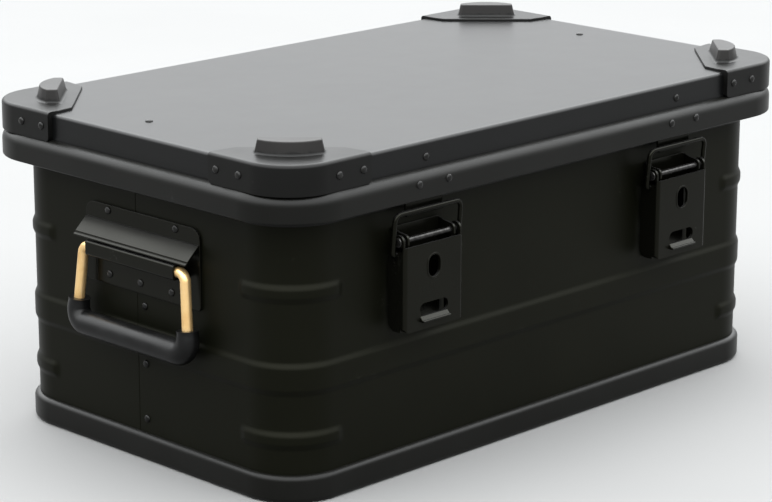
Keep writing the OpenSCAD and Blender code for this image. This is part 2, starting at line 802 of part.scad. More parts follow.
module strap_bracket(side) color(black) difference() {
    mirror([side > 0 ? 1 : 0, 0, 0]) translate([0, strap_high[0], 0]) {
        tab_x = strap_x - strap_t - tab_gap;
        translate([-tab_x, -strap_w / 2, lid_top - 2 * sheet]) cube([tab_x - tab_in, strap_w, sheet]);
        translate([-tab_x, -strap_w / 2, tab_z0]) cube([sheet, strap_w, lid_top - 2 * sheet - tab_z0]);
    }
    rivet_holes(strap_lid_point(side), [0, 0, 0]);
}

module strap_rivets() color(black)
    for (s = [-1, 1]) rivets(strap_lid_point(s), [0, 0, 0], 2 * sheet);

// Point f of the way along the strap: placed on the taut line, then turned back with the closing lid
function turned(p, a) = [p[0] * cos(a) - p[1] * sin(a), p[0] * sin(a) + p[1] * cos(a)];
hinge_yz = [back_y + hinge_axis[0], hinge_axis[1]];
open_high = hinge_yz + turned(strap_high - hinge_yz, -lid_angle);
function strap_point(f, side) =
    let (along = (open_high - strap_low) / norm(open_high - strap_low),
         across = [-along[1], along[0]] * strap_w / 2 * side,
         taut = strap_low + (open_high - strap_low) * f + across)
    hinge_yz + turned(taut - hinge_yz, lid_angle * min(max(f, 0), 1));

module lid_strap(side) color(webbing) {
    path = concat([-strap_end], [for (i = [0 : strap_steps]) i / strap_steps], [1 + strap_end]);
    last = len(path) - 1;
    difference() {
        mirror([side > 0 ? 1 : 0, 0, 0]) translate([-strap_x, 0, 0]) rotate([90, 0, 90])
            linear_extrude(strap_t) polygon(concat(
                [for (f = path) strap_point(f, 1)],
                [for (i = [0 : last]) strap_point(path[last - i], -1)]));
        rivet_holes(plate_points(side, 0, [1]), side > 0 ? RIGHT : LEFT);
    }
}

// ---- Nodes ----

front_shell();
rear_shell();
bottom_panel();
bottom_frame();
case_rim();
seam_rivets();
bottom_rivets();
latch_base(-1);  // latch_base_left
latch_base(1);  // latch_base_right
latch_pin(-1);  // latch_pin_left
latch_pin(1);  // latch_pin_right
latch_rivets();
latch_lever(-1);  // latch_lever_left
latch_lever(1);  // latch_lever_right
latch_bail(-1);  // latch_bail_left
latch_bail(1);  // latch_bail_right
handle_plate(-1);  // handle_plate_left
handle_plate(1);  // handle_plate_right
handle_clamp(-1);  // handle_clamp_left
handle_clamp(1);  // handle_clamp_right
handle_rivets();
handle_bail(-1);  // handle_bail_left
handle_bail(1);  // handle_bail_right
handle_grip(-1);  // handle_grip_left
handle_grip(1);  // handle_grip_right
hinge_case_leaf(-1);  // hinge_case_leaf_left
hinge_case_leaf(1);  // hinge_case_leaf_right
hinge_pin(-1);  // hinge_pin_left
hinge_pin(1);  // hinge_pin_right
hinge_case_rivets();
lid_panel();
lid_frame();
lid_seal();
catch(-1);  // catch_left
catch(1);  // catch_right
catch_rivets();
hinge_lid_leaf(-1);  // hinge_lid_leaf_left
hinge_lid_leaf(1);  // hinge_lid_leaf_right
hinge_lid_rivets();
corner_guard(-1, -1);  // corner_guard_front_left
corner_guard(1, -1);  // corner_guard_front_right
corner_guard(-1, 1);  // corner_guard_rear_left
corner_guard(1, 1);  // corner_guard_rear_right
guard_rivets();
strap_bracket(-1);  // strap_bracket_left
strap_bracket(1);  // strap_bracket_right
strap_rivets();
lid_strap(-1);  // lid_strap_left
lid_strap(1);  // lid_strap_right
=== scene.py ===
# Looks of the footlocker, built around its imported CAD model. Lengths are millimetres until a mesh is made.
import json
import math
from collections import defaultdict

import bmesh
import bpy
from mathutils import Matrix, Vector


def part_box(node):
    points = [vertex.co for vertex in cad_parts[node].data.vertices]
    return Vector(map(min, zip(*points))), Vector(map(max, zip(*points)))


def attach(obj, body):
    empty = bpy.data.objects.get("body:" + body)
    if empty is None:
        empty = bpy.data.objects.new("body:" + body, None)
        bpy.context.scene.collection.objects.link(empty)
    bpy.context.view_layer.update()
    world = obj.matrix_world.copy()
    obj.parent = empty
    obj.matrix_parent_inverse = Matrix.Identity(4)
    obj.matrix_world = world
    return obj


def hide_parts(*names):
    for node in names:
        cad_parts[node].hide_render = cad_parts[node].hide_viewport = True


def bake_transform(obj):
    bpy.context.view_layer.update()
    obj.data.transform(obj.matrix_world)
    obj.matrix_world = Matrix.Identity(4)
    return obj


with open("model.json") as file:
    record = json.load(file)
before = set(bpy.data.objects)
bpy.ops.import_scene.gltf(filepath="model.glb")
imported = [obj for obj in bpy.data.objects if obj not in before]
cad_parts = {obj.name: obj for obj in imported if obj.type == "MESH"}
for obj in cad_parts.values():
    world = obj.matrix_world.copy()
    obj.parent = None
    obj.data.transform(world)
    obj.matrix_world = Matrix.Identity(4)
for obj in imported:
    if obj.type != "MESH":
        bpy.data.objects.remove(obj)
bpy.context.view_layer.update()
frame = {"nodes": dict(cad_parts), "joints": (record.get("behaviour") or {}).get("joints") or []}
MM = 0.001
SIDES = {"left": -1, "right": 1}


def box_mm(node):
    lo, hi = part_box(node)
    return lo / MM, hi / MM


def joint(name):
    found = next(j for j in frame["joints"] if j["name"] == name)
    return Vector(found["pos_m"]) / MM


# ---- Driving dimensions ----
SHEET = 1.5
BASE_WALL = 2.0
panel_lo, panel_hi = box_mm("bottom_panel")
BODY_X = panel_hi.x + SHEET + BASE_WALL
BODY_Y = panel_hi.y + SHEET + BASE_WALL
BODY_R = 43.0
SHELL_Z0, SHELL_Z1 = box_mm("rear_shell")[0].z, box_mm("rear_shell")[1].z
base_hi = box_mm("bottom_frame")[1]
BASE_H, BASE_OUT = base_hi.z, base_hi.x - BODY_X

lid_lo, lid_hi = box_mm("lid_panel")
LID_X, LID_Y, LID_TOP, LID_R = lid_hi.x, lid_hi.y, lid_hi.z, 46.0
LID_Z0 = lid_lo.z
STEP_OUT = LID_X - BODY_X
head_lo, head_hi = box_mm("lid_frame")
HEAD_Z0, HEAD_Z1, HEAD_OUT = head_lo.z, head_hi.z, head_hi.x - LID_X

guard_hi = box_mm("corner_guard_front_right")[1]
GUARD_OUT = guard_hi.x - LID_X
GUARD_LEG = 80.5
GUARD_R = 41.0
GUARD_TOP = 2.3
KNOB_H = guard_hi.z - LID_TOP - GUARD_TOP

LATCH_X = joint("latch_right_lever").x
LEVER_AXIS = (-BODY_Y - joint("latch_right_lever").y, joint("latch_right_lever").z)
TAIL_AXIS = (-BODY_Y - joint("latch_right_bail").y, joint("latch_right_bail").z)
PIVOT = joint("handle_right")
HINGE = joint("lid_hinge")


# ---- Shapes: each is a list of points and a list of faces ----
def arc(cx, cy, r, start, end, steps):
    """Points on a circle from one angle to another, in degrees."""
    turn = [math.radians(start + (end - start) * i / steps) for i in range(steps + 1)]
    return [(cx + r * math.cos(a), cy + r * math.sin(a)) for a in turn]


def rounded_corner(before, corner, after, r, steps=5):
    """The corner of an outline, rounded to radius r."""
    c = Vector(corner)
    u, v = (Vector(before) - c).normalized(), (Vector(after) - c).normalized()
    half = u.angle(v) / 2
    reach = r / math.tan(half)
    centre = c + (u + v).normalized() * (r / math.sin(half))
    a, b = c + u * reach - centre, c + v * reach - centre
    points = []
    for i in range(steps + 1):
        p = a.lerp(b, i / steps).normalized() * r
        points.append(tuple(centre + p))
    return points


def rounded_outline(corners, radii, steps=5):
    """A closed outline with each corner rounded; a radius of 0 leaves the corner sharp."""
    points = []
    for i, corner in enumerate(corners):
        r = radii[i] if isinstance(radii, (list, tuple)) else radii
        if r > 0:
            points += rounded_corner(corners[i - 1], corner, corners[(i + 1) % len(corners)], r, steps)
        else:
            points.append(corner)
    return points


def grid_faces(rows, columns, close_rows=False, close_columns=False):
    faces = []
    for i in range(rows if close_rows else rows - 1):
        for j in range(columns if close_columns else columns - 1):
            k, m = (i + 1) % rows, (j + 1) % columns
            faces.append((i * columns + j, i * columns + m, k * columns + m, k * columns + j))
    return faces


def ring_stations(half_x, half_y, r, steps=14):
    """Places round a rounded rectangle, anticlockwise from the middle of +X: x, y and outward direction."""
    stations = []
    for q in range(4):
        angle = 90 * q
        c, s = round(math.cos(math.radians(angle))), round(math.sin(math.radians(angle)))
        off, half = (half_x, half_y - r) if q % 2 == 0 else (half_y, half_x - r)
        for v in (-half, half):
            stations.append((c * off - s * v, s * off + c * v, c, s))
        for i in range(1, steps):
            a = math.radians(angle + 90 * i / steps)
            cx = (half_x - r) * (1 if q in (0, 3) else -1)
            cy = (half_y - r) * (1 if q in (0, 1) else -1)
            stations.append((cx + r * math.cos(a), cy + r * math.sin(a), math.cos(a), math.sin(a)))
    return stations


def swept_ring(section, half_x, half_y, r, steps=14):
    """A closed section [out, height] carried all the way round a rounded rectangle."""
    stations = ring_stations(half_x, half_y, r, steps)
    points = [(x + nx * u, y + ny * u, z) for x, y, nx, ny in stations for u, z in section]
    return points, grid_faces(len(stations), len(section), True, True)


def loft(loops, cap_start=True, cap_end=True):
    """Loops of equal length joined in turn, with flat caps on the ends."""
    n = len(loops[0])
    points = [p for loop in loops for p in loop]
    faces = grid_faces(len(loops), n, False, True)
    if cap_start:
        faces.append(tuple(range(n - 1, -1, -1)))
    if cap_end:
        faces.append(tuple((len(loops) - 1) * n + i for i in range(n)))
    return points, faces


def stacked(rows, stations):
    """Rings round a rounded rectangle, one for each [out, height], joined in turn."""
    return loft([[Vector((x + nx * u, y + ny * u, z)) for x, y, nx, ny in stations] for u, z in rows])


def round_ring(centre, side, other, r, count):
    turn = [2 * math.pi * k / count for k in range(count)]
    return [centre + (side * math.cos(a) + other * math.sin(a)) * r for a in turn]


def tube(path, radii, sides):
    """A round bar along a path, with a radius at each of its points."""
    loops = []
    side = None
    for i, p in enumerate(path):
        ahead = (path[min(i + 1, len(path) - 1)] - path[max(i - 1, 0)]).normalized()
        if side is None:
            side = ahead.orthogonal().normalized()
        side = (side - ahead * side.dot(ahead)).normalized()
        other = ahead.cross(side)
        r = radii[i] if isinstance(radii, (list, tuple)) else radii
        loops.append(round_ring(p, side, other, r, sides))
    return loft(loops)


def bent_path(corners, radius, steps=8):
    """A path of straight runs with each corner bent to a radius."""
    path = [corners[0]]
    for before, corner, after in zip(corners, corners[1:], corners[2:]):
        u, v = (before - corner).normalized(), (after - corner).normalized()
        half = u.angle(v) / 2
        centre = corner + (u + v).normalized() * (radius / math.sin(half))
        a = corner + u * radius / math.tan(half) - centre
        b = corner + v * radius / math.tan(half) - centre
        whole = a.angle(b)
        for i in range(steps + 1):
            f = i / steps
            p = (a * math.sin((1 - f) * whole) + b * math.sin(f * whole)) / math.sin(whole)
            path.append(centre + p)
    return path + [corners[-1]]


def moved(shape, place):
    points, faces = shape
    return [place(Vector(p)) for p in points], faces


def merged(shapes):
    points, faces = [], []
    for p, f in shapes:
        start = len(points)
        points += p
        faces += [tuple(i + start for i in face) for face in f]
    return points, faces


def placed(name, data):
    """A new object in the scene."""
    made = bpy.data.objects.new(name, data)
    bpy.context.scene.collection.objects.link(made)
    return made


def mesh_from(shape, name):
    points, faces = shape
    mesh = bpy.data.meshes.new(name)
    mesh.from_pydata([tuple(p) for p in points], [], faces)
    return mesh


def shape_of(mesh):
    return [v.co.copy() for v in mesh.vertices], [tuple(p.vertices) for p in mesh.polygons]


def tidy(shape):
    """The shape with doubled points welded and its faces turned outward."""
    bm = bmesh.new()
    mesh = mesh_from(shape, "tidy")
    bm.from_mesh(mesh)
    bmesh.ops.remove_doubles(bm, verts=bm.verts, dist=0.005)
    bmesh.ops.dissolve_degenerate(bm, edges=bm.edges, dist=0.001)
    bmesh.ops.recalc_face_normals(bm, faces=bm.faces)
    bm.to_mesh(mesh)
    bm.free()
    result = shape_of(mesh)
    bpy.data.meshes.remove(mesh)
    return result


def plate(outline, t0, t1, place, holes=(), edge=0.4):
    """A sheet or bar with a 2-D outline and holes, from t0 to t1, its edges rounded."""
    curve = bpy.data.curves.new("plate", "CURVE")
    curve.dimensions = "2D"
    curve.fill_mode = "BOTH"
    for loop in [outline, *holes]:
        spline = curve.splines.new("POLY")
        spline.points.add(len(loop) - 1)
        for point, (a, b) in zip(spline.points, loop):
            point.co = (a, b, 0, 1)
        spline.use_cyclic_u = True
    edge = min(edge, (t1 - t0) * 0.45)
    curve.extrude = (t1 - t0) / 2 - edge
    curve.bevel_depth = edge
    curve.bevel_resolution = 2
    curve.offset = -edge
    maker = placed("plate", curve)
    mesh = bpy.data.meshes.new_from_object(maker.evaluated_get(bpy.context.evaluated_depsgraph_get()))
    shape = shape_of(mesh)
    bpy.data.objects.remove(maker)
    bpy.data.curves.remove(curve)
    bpy.data.meshes.remove(mesh)
    middle = (t0 + t1) / 2
    return tidy(moved(shape, lambda p: place(p.x, p.y, p.z + middle)))


def cut(shape, cutters):
    """The shape with each cutter taken away from it."""
    target = placed("target", mesh_from(tidy(shape), "target"))
    tools = []
    for cutter in cutters:
        tool = placed("tool", mesh_from(tidy(cutter), "tool"))
        change = target.modifiers.new("cut", "BOOLEAN")
        change.operation = "DIFFERENCE"
        change.solver = "EXACT"
        change.object = tool
        tools.append(tool)
    bpy.context.view_layer.update()
    mesh = bpy.data.meshes.new_from_object(target.evaluated_get(bpy.context.evaluated_depsgraph_get()))
    result = shape_of(mesh)
    bpy.data.meshes.remove(mesh)
    for o in [target, *tools]:
        bpy.data.objects.remove(o)
    return result


def prism(outline, t0, t1, place):
    """A sharp-edged bar with a 2-D outline."""
    return loft([[place(a, b, t) for a, b in outline] for t in (t0, t1)])


# Places: [out, height, across] to the row frame, for each face of the case
def front_place(x0):
    return lambda out, z, t: Vector((x0 + t, -BODY_Y - out, z))


def end_place(side):
    return lambda out, z, t: Vector((side * (BODY_X + out), t, z))


def front_face(x0, d):
    """[across, height, depth] on the front, with depth counted out of the plane at d from the wall."""
    return lambda a, z, t: Vector((x0 + a, -BODY_Y - d - t, z))


def end_face(side, d):
    return lambda a, z, t: Vector((side * (BODY_X + d + t), a, z))


# ---- Materials ----
class Nodes:
    """Short calls for a material's nodes."""

    def __init__(self, name):
        self.material = bpy.data.materials.new(name)
        self.material.use_nodes = True
        self.tree = self.material.node_tree
        self.shader = self.tree.nodes["Principled BSDF"]
        coordinates = self.add("ShaderNodeTexCoord").outputs
        self.place, self.normal = coordinates["Object"], coordinates["Normal"]

    def add(self, kind, **values):
        node = self.tree.nodes.new(kind)
        for key, value in values.items():
            setattr(node, key, value)
        return node

    def link(self, a, b):
        self.tree.links.new(a, b)

    def feed(self, socket, value):
        if isinstance(value, (int, float, tuple)):
            socket.default_value = value
        else:
            self.link(value, socket)

    def stretched(self, scale):
        node = self.add("ShaderNodeMapping")
        node.inputs["Scale"].default_value = scale
        self.link(self.place, node.inputs["Vector"])
        return node.outputs["Vector"]

    def noise(self, size_mm, detail=3.0, rough=0.55, vector=None):
        """Noise whose features are about size_mm across."""
        node = self.add("ShaderNodeTexNoise")
        node.inputs["Scale"].default_value = 1000.0 / size_mm
        node.inputs["Detail"].default_value = detail
        node.inputs["Roughness"].default_value = rough
        self.link(vector or self.place, node.inputs["Vector"])
        return node.outputs["Fac"]

    def spread(self, value, low, high, to_low, to_high):
        node = self.add("ShaderNodeMapRange")
        for socket, v in zip(("From Min", "From Max", "To Min", "To Max"), (low, high, to_low, to_high)):
            node.inputs[socket].default_value = v
        self.link(value, node.inputs["Value"])
        return node.outputs["Result"]

    def math(self, operation, a, b):
        node = self.add("ShaderNodeMath", operation=operation)
        self.feed(node.inputs[0], a)
        self.feed(node.inputs[1], b)
        return node.outputs["Value"]

    def mixed(self, factor, a, b):
        node = self.add("ShaderNodeMix", data_type="RGBA")
        self.link(factor, node.inputs["Factor"])
        for socket, value in ((node.inputs[6], a), (node.inputs[7], b)):
            self.feed(socket, (*value, 1.0) if isinstance(value, tuple) else value)
        return node.outputs[2]

    def bump(self, height, depth_mm, strength=1.0, under=None):
        node = self.add("ShaderNodeBump")
        node.inputs["Strength"].default_value = strength
        node.inputs["Distance"].default_value = depth_mm * MM
        self.link(height, node.inputs["Height"])
        if under:
            self.link(under, node.inputs["Normal"])
        return node.outputs["Normal"]

    def set(self, **values):
        for key, value in values.items():
            self.feed(self.shader.inputs[key.replace("_", " ")], value)


RUBBED = (0.0095, 0.0088, 0.0084)


def powder_coat(name, colour, dust, rough, specular, grain=0.012, rubbed_z=None, smeared=1.0, tint=(1, 1, 1),
                sky_sheen=0.0):
    """Black powder coat: fine orange peel, faint smears, small worn spots, and, if asked, rubbed wear above a
    height and a painted highlight on the faces that look up.
    """
    n = Nodes(name)
    smear = n.noise(120, 2.0)
    streak = n.noise(30, 3.0, vector=n.stretched((1.0, 1.0, 0.22)))
    speck = n.noise(2.2, 2.0)
    worn = n.spread(n.math("MULTIPLY", speck, n.noise(26, 2.0)), 0.43, 0.5, 0.0, 1.0)
    base = n.mixed(n.spread(smear, 0.35, 0.75, 0.0, 0.8), colour, dust)
    worn_colour = tuple(c * 2.0 + 0.003 for c in dust)
    if rubbed_z:
        # rubbed to a dull grey above this height, where the next case sits
        height = n.add("ShaderNodeSeparateXYZ")
        n.link(n.place, height.inputs["Vector"])
        patchy = n.math("ADD", height.outputs["Z"], n.spread(n.noise(5, 4.0), 0.3, 0.7, -0.0012, 0.0012))
        rub = n.spread(patchy, rubbed_z * MM, (rubbed_z + 1.5) * MM, 0.0, 0.8)
        base = n.mixed(rub, base, RUBBED)
    if sky_sheen:
        # painted highlight: the faces that look up are painted lighter, standing in for the bright sky they
        # reflect
        facing = n.add("ShaderNodeSeparateXYZ")
        n.link(n.normal, facing.inputs["Vector"])
        sky_sheen_mask = n.math("MULTIPLY", n.spread(facing.outputs["Z"], 0.3, 0.8, 0.0, 1.0),
                      n.spread(smear, 0.3, 0.7, 0.8, 1.0))
        base = n.mixed(sky_sheen_mask, base, (sky_sheen, sky_sheen * 0.99, sky_sheen * 0.97))
    n.set(Base_Color=n.mixed(worn, base, worn_colour))
    varied = n.math("ADD", n.spread(smear, 0.3, 0.7, rough - 0.04 * smeared, rough + 0.05 * smeared),
                    n.spread(streak, 0.3, 0.7, -0.02 * smeared, 0.02 * smeared))
    n.set(Roughness=varied, Specular_IOR_Level=specular, Specular_Tint=(*tint, 1.0))
    peel = n.bump(n.noise(1.1, 2.0, 0.6), grain)
    n.set(Normal=n.bump(n.noise(70, 1.5), 0.25, 0.5, peel))
    return n.material


def plated_steel():
    """Pale yellow zinc plate: drawn along the bar, with darker fingerprints and small dull specks."""
    n = Nodes("zinc_steel")
    drawn = n.noise(0.9, 3.0, vector=n.stretched((1.0, 1.0, 0.08)))
    stain = n.noise(14, 4.0)
    base = n.mixed(n.spread(stain, 0.4, 0.72, 0.0, 1.0), (0.62, 0.42, 0.19), (0.48, 0.30, 0.12))
    n.set(Base_Color=n.mixed(n.spread(drawn, 0.55, 0.75, 0.0, 0.35), base, (0.70, 0.56, 0.36)))
    n.set(Metallic=0.8, Specular_IOR_Level=0.5)
    n.set(Roughness=n.spread(stain, 0.3, 0.7, 0.30, 0.44))
    n.set(Normal=n.bump(drawn, 0.01, 0.6))
    return n.material


def rivet_steel(name, colour, metallic, rough):
    """Rivet heads: small dings, paint or bare metal rubbed at the crown."""
    n = Nodes(name)
    rub = n.noise(3.2, 3.0)
    dark = tuple(c * 0.5 for c in colour)
    n.set(Base_Color=n.mixed(n.spread(rub, 0.4, 0.62, 0.0, 1.0), dark, colour))
    n.set(Metallic=metallic, Specular_IOR_Level=0.16)
    n.set(Roughness=n.spread(rub, 0.3, 0.7, rough - 0.06, rough + 0.08))
    n.set(Normal=n.bump(n.noise(0.9, 2.0), 0.02, 0.7))
    return n.material


def moulded_rubber(name, colour, rough):
    """Moulded grip or seal: fine spark grain, a slight bloom."""
    n = Nodes(name)
    bloom = n.noise(18, 4.0)
    pale = tuple(c * 1.9 + 0.0015 for c in colour)
    n.set(Base_Color=n.mixed(n.spread(bloom, 0.4, 0.75, 0.0, 0.7), colour, pale))
    n.set(Roughness=n.spread(bloom, 0.3, 0.7, rough - 0.05, rough + 0.07), Specular_IOR_Level=0.14)
    n.set(Normal=n.bump(n.noise(0.45, 2.0, 0.6), 0.03, 0.8))
    return n.material


def webbing():
    """Plain-woven strap: threads about 1 mm apart each way, fuzzy and a little faded."""
    n = Nodes("strap_webbing")
    threads = []
    for direction in ("Y", "Z"):
        wave = n.add("ShaderNodeTexWave", bands_direction=direction)
        wave.inputs["Scale"].default_value = 300.0
        wave.inputs["Distortion"].default_value = 0.6
        wave.inputs["Detail"].default_value = 1.0
        n.link(n.place, wave.inputs["Vector"])
        threads.append(wave.outputs["Fac"])
    weave = n.math("MAXIMUM", threads[0], threads[1])
    fade = n.noise(22, 4.0)
    cloth = n.mixed(n.spread(fade, 0.35, 0.7, 0.0, 1.0), (0.009, 0.010, 0.007), (0.016, 0.017, 0.012))
    n.set(Base_Color=n.mixed(n.spread(weave, 0.2, 0.9, 0.0, 0.5), (0.003, 0.0035, 0.0025), cloth))
    n.set(Roughness=0.85, Sheen_Weight=0.06, Sheen_Roughness=0.5, Specular_IOR_Level=0.1)
    n.set(Normal=n.bump(weave, 0.25, 0.8))
    return n.material


WARM = (1.0, 1.0, 0.80)
COATS = {
    "body_paint": ((0.0013, 0.0014, 0.0007), (0.0020, 0.0021, 0.0012), 0.42, 0.062, {"tint": WARM}),
    "lid_paint": ((0.0015, 0.0016, 0.0016), (0.0021, 0.0022, 0.0023), 0.34, 0.15, {"smeared": 0.3}),
    "frame_paint": ((0.0016, 0.0016, 0.0012), (0.0024, 0.0024, 0.0020), 0.38, 0.13, {}),
    "guard_paint": ((0.0016, 0.0016, 0.0014), (0.0024, 0.0024, 0.0023), 0.38, 0.12, {"rubbed_z": 267.5}),
    # the hardware's faces that look up get a painted highlight, standing in for the sky they reflect
    "hardware_paint": ((0.0012, 0.0012, 0.0008), (0.0019, 0.0019, 0.0014), 0.24, 0.085,
                       {"grain": 0.006, "tint": WARM, "sky_sheen": 0.0075}),
    "inner_metal": ((0.014, 0.0145, 0.014), (0.020, 0.0205, 0.020), 0.50, 0.25, {}),
}
MATERIALS = {name: powder_coat(name, *values, **more) for name, (*values, more) in COATS.items()}
MATERIALS["zinc_steel"] = plated_steel()
MATERIALS["bright_rivet"] = rivet_steel("bright_rivet", (0.010, 0.0098, 0.0094), 0.3, 0.24)
MATERIALS["pin_steel"] = rivet_steel("pin_steel", (0.034, 0.033, 0.032), 0.8, 0.2)
MATERIALS["dark_rivet"] = rivet_steel("dark_rivet", (0.003, 0.003, 0.0026), 0.1, 0.28)
MATERIALS["grip_rubber"] = moulded_rubber("grip_rubber", (0.0015, 0.0015, 0.0015), 0.34)
MATERIALS["seal_rubber"] = moulded_rubber("seal_rubber", (0.008, 0.008, 0.008), 0.70)
MATERIALS["strap_webbing"] = webbing()


# ---- Making pieces ----
def dress(piece, slot, look=None):
    piece.data.materials.clear()
    piece.data.materials.append(MATERIALS[look or slot])
    for polygon in piece.data.polygons:
        polygon.use_smooth = True


def make(name, shapes, slot, body=None, replaces=(), sharp_deg=38, look=None):
    points, faces = merged([tidy(s) for s in shapes])
    piece = placed(name, mesh_from(([p * MM for p in map(Vector, points)], faces), name))
    dress(piece, slot, look)
    piece.data.set_sharp_from_angle(angle=math.radians(sharp_deg))
    weighted = piece.modifiers.new("weighted", "WEIGHTED_NORMAL")
    weighted.keep_sharp = True
    weighted.weight = 80
    if body:
        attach(piece, body)
    if replaces:
        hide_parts(*replaces)
    return piece


def keep(node, slot, edge=0.35):
    """A CAD node that stays: its edges softened and given its material."""
    piece = frame["nodes"][node]
    dress(piece, slot)
    weld = piece.modifiers.new("weld", "WELD")
    weld.merge_threshold = 1e-6
    soft = piece.modifiers.new("soft", "BEVEL")
    soft.width = edge * MM
    soft.segments = 2
    soft.limit_method = "ANGLE"
    soft.angle_limit = math.radians(40)
    soft.harden_normals = False


# ---- Body shells ----
BAND_Z, BAND_H = 96.5, 28.0
CORNER_Z, CORNER_H = (48.5, 162.5), 17.0
BEAD_OUT, BEAD_SLOPE = 2.0, 6.5
CORNER_RUN = 8.5
LAP = 9.0
SEAM_EDGE, AT_SEAM = 0.5, 99
BEND_STEPS = 14
TONGUE_Z = (18, 207.5)


def smooth_step(t):
    t = min(max(t, 0.0), 1.0)
    return t * t * (3 - 2 * t)


def bead_height(z, middle, height):
    return smooth_step((height / 2 - abs(z - middle)) / BEAD_SLOPE)


def bead_out(z, corner):
    """How far the shell stands out at height z; corner is 1 at a bend and 0 on a flat."""
    band = bead_height(z, BAND_Z, BAND_H)
    short = max(bead_height(z, middle, CORNER_H) for middle in CORNER_Z)
    return BEAD_OUT * max(band, short * corner)


def shell_levels():
    levels = [SHELL_Z0, SHELL_Z1]
    for middle, height in [(BAND_Z, BAND_H)] + [(z, CORNER_H) for z in CORNER_Z]:
        for i in range(9):
            rise = BEAD_SLOPE * i / 8
            levels += [middle - height / 2 + rise, middle + height / 2 - rise]
    return sorted(set(levels))


def half_stations(face):
    """Places of one half shell from seam to seam: x, y, outward direction, distance from the nearest bend."""
    short, long = BODY_Y - BODY_R, BODY_X - BODY_R
    fade = [0, 3, 5, 6.5, 8, 9.5, 11, 12.5, 14, 16]
    seam = LAP if face > 0 else -LAP
    run = [(seam, AT_SEAM), (seam + SEAM_EDGE, AT_SEAM - 1)] + sorted((short - e, e) for e in fade)
    right = [(BODY_X, y, 1, 0, e) for y, e in run]
    for i in range(1, BEND_STEPS):
        a = math.radians(90 * i / BEND_STEPS)
        c, s = math.cos(a), math.sin(a)
        right.append((long + BODY_R * c, short + BODY_R * s, c, s, 0))
    right += [(long - e, BODY_Y, 0, 1, e) for e in fade]
    whole = right + [(-x, y, -nx, ny, e) for x, y, nx, ny, e in reversed(right)]
    return whole if face > 0 else [(x, -y, nx, -ny, e) for x, y, nx, ny, e in whole]


def half_shell(face):
    levels = shell_levels()
    loops = []
    for x, y, nx, ny, e in half_stations(face):
        corner = 1 - smooth_step((e - CORNER_RUN + 4) / 8)
        outer = [(bead_out(z, corner), z) for z in levels]
        drawn = SEAM_EDGE if e == AT_SEAM else 0.0
        section = [(u - drawn, z) for u, z in outer] + [(u - SHEET, z) for u, z in reversed(outer)]
        loops.append([Vector((x + nx * u, y + ny * u, z)) for u, z in section])
    return loft(loops)


def tongue(side):
    """The rear shell's strip that laps behind the front one."""
    low, high = TONGUE_Z
    levels = [low, *(z for z in shell_levels() if low < z < high), high]
    loops = []
    for y in (-LAP, LAP + 3):
        outer = [(bead_out(z, 0) - SHEET, z) for z in levels]
        section = outer + [(u - SHEET, z) for u, z in reversed(outer)]
        loops.append([Vector((side * (BODY_X + u), y, z)) for u, z in section])
    return loft(loops)


make("front_shell_skin", [half_shell(-1)], "body_paint", "case", ["front_shell"], 60)
make("rear_shell_skin", [half_shell(1), tongue(-1), tongue(1)], "body_paint", "case", ["rear_shell"], 60)

# ---- Bottom frame, rim, bottom panel ----
LEDGE, PANEL_Z = 8.0, panel_lo.z


def base_section():
    nose, inner, low = BASE_OUT, -SHEET - BASE_WALL, 0.8
    return (
        [(inner, low), (inner + low, 0), (0, 0)]
        + arc(0, nose, nose, -90, 0, 8)[1:]
        + arc(0, BASE_H - nose, nose, 0, 90, 8)
        + [(0, SHELL_Z0), (-SHEET, SHELL_Z0)]
        + arc(inner + low, BASE_H - nose - low, low, 0, 180, 6)
        + [(inner, PANEL_Z), (inner - LEDGE, PANEL_Z)]
        + [(inner - LEDGE, PANEL_Z - SHEET), (inner, PANEL_Z - SHEET)]
    )


make("bottom_frame_bar", [swept_ring(base_section(), BODY_X, BODY_Y, BODY_R)], "frame_paint", "case",
     ["bottom_frame"], 50)

RIM_LEG_Z, RIM_LIP_Z, RIM_SKIRT_Z, RIM_FLANGE, RIM_FLANGE_T = 208.0, 238.0, 214.0, 7.5, 2.5


def rim_section():
    inner = -SHEET - SHEET
    return (
        arc(inner + 0.75, RIM_LIP_Z - 0.75, 0.75, 180, 0, 8)
        + [(-SHEET, SHELL_Z1 + RIM_FLANGE_T)]
        + arc(RIM_FLANGE - 1.2, SHELL_Z1 + 1.25, 1.2, 90, -90, 8)
        + [(SHEET, SHELL_Z1), (SHEET, RIM_SKIRT_Z + 0.5), (SHEET - 0.5, RIM_SKIRT_Z), (0, RIM_SKIRT_Z)]
        + [(0, SHELL_Z1), (-SHEET, SHELL_Z1), (-SHEET, RIM_LEG_Z), (inner, RIM_LEG_Z)]
    )


make("case_rim_bar", [swept_ring(rim_section(), BODY_X, BODY_Y, BODY_R)], "frame_paint", "case",
     ["case_rim"], 50)


PANEL_EDGE = 0.3
panel_rows = [(-PANEL_EDGE, PANEL_Z), (0, PANEL_Z + PANEL_EDGE), (0, panel_hi.z - PANEL_EDGE),
              (-PANEL_EDGE, panel_hi.z)]
panel_places = ring_stations(panel_hi.x, panel_hi.y, BODY_R - SHEET - BASE_WALL)
make("bottom_panel_sheet", [stacked(panel_rows, panel_places)], "inner_metal", "case", ["bottom_panel"])

# ---- Lid panel, frame and seal ----
LID_EDGE = 3.0


def lid_pan():
    """A drawn pan with a rounded top edge."""
    bend = LID_TOP - LID_EDGE
    outer = [(0, LID_Z0), (0, bend)] + arc(-LID_EDGE, bend, LID_EDGE, 0, 90, 8)[1:]
    inner = [(-SHEET, LID_Z0), (-SHEET, bend)] + arc(-LID_EDGE, bend, LID_EDGE - SHEET, 0, 90, 6)[1:]
    return stacked(inner[::-1] + outer, ring_stations(LID_X, LID_Y, LID_R, 18))


make("lid_panel_sheet", [lid_pan()], "lid_paint", "lid", ["lid_panel"], 50)

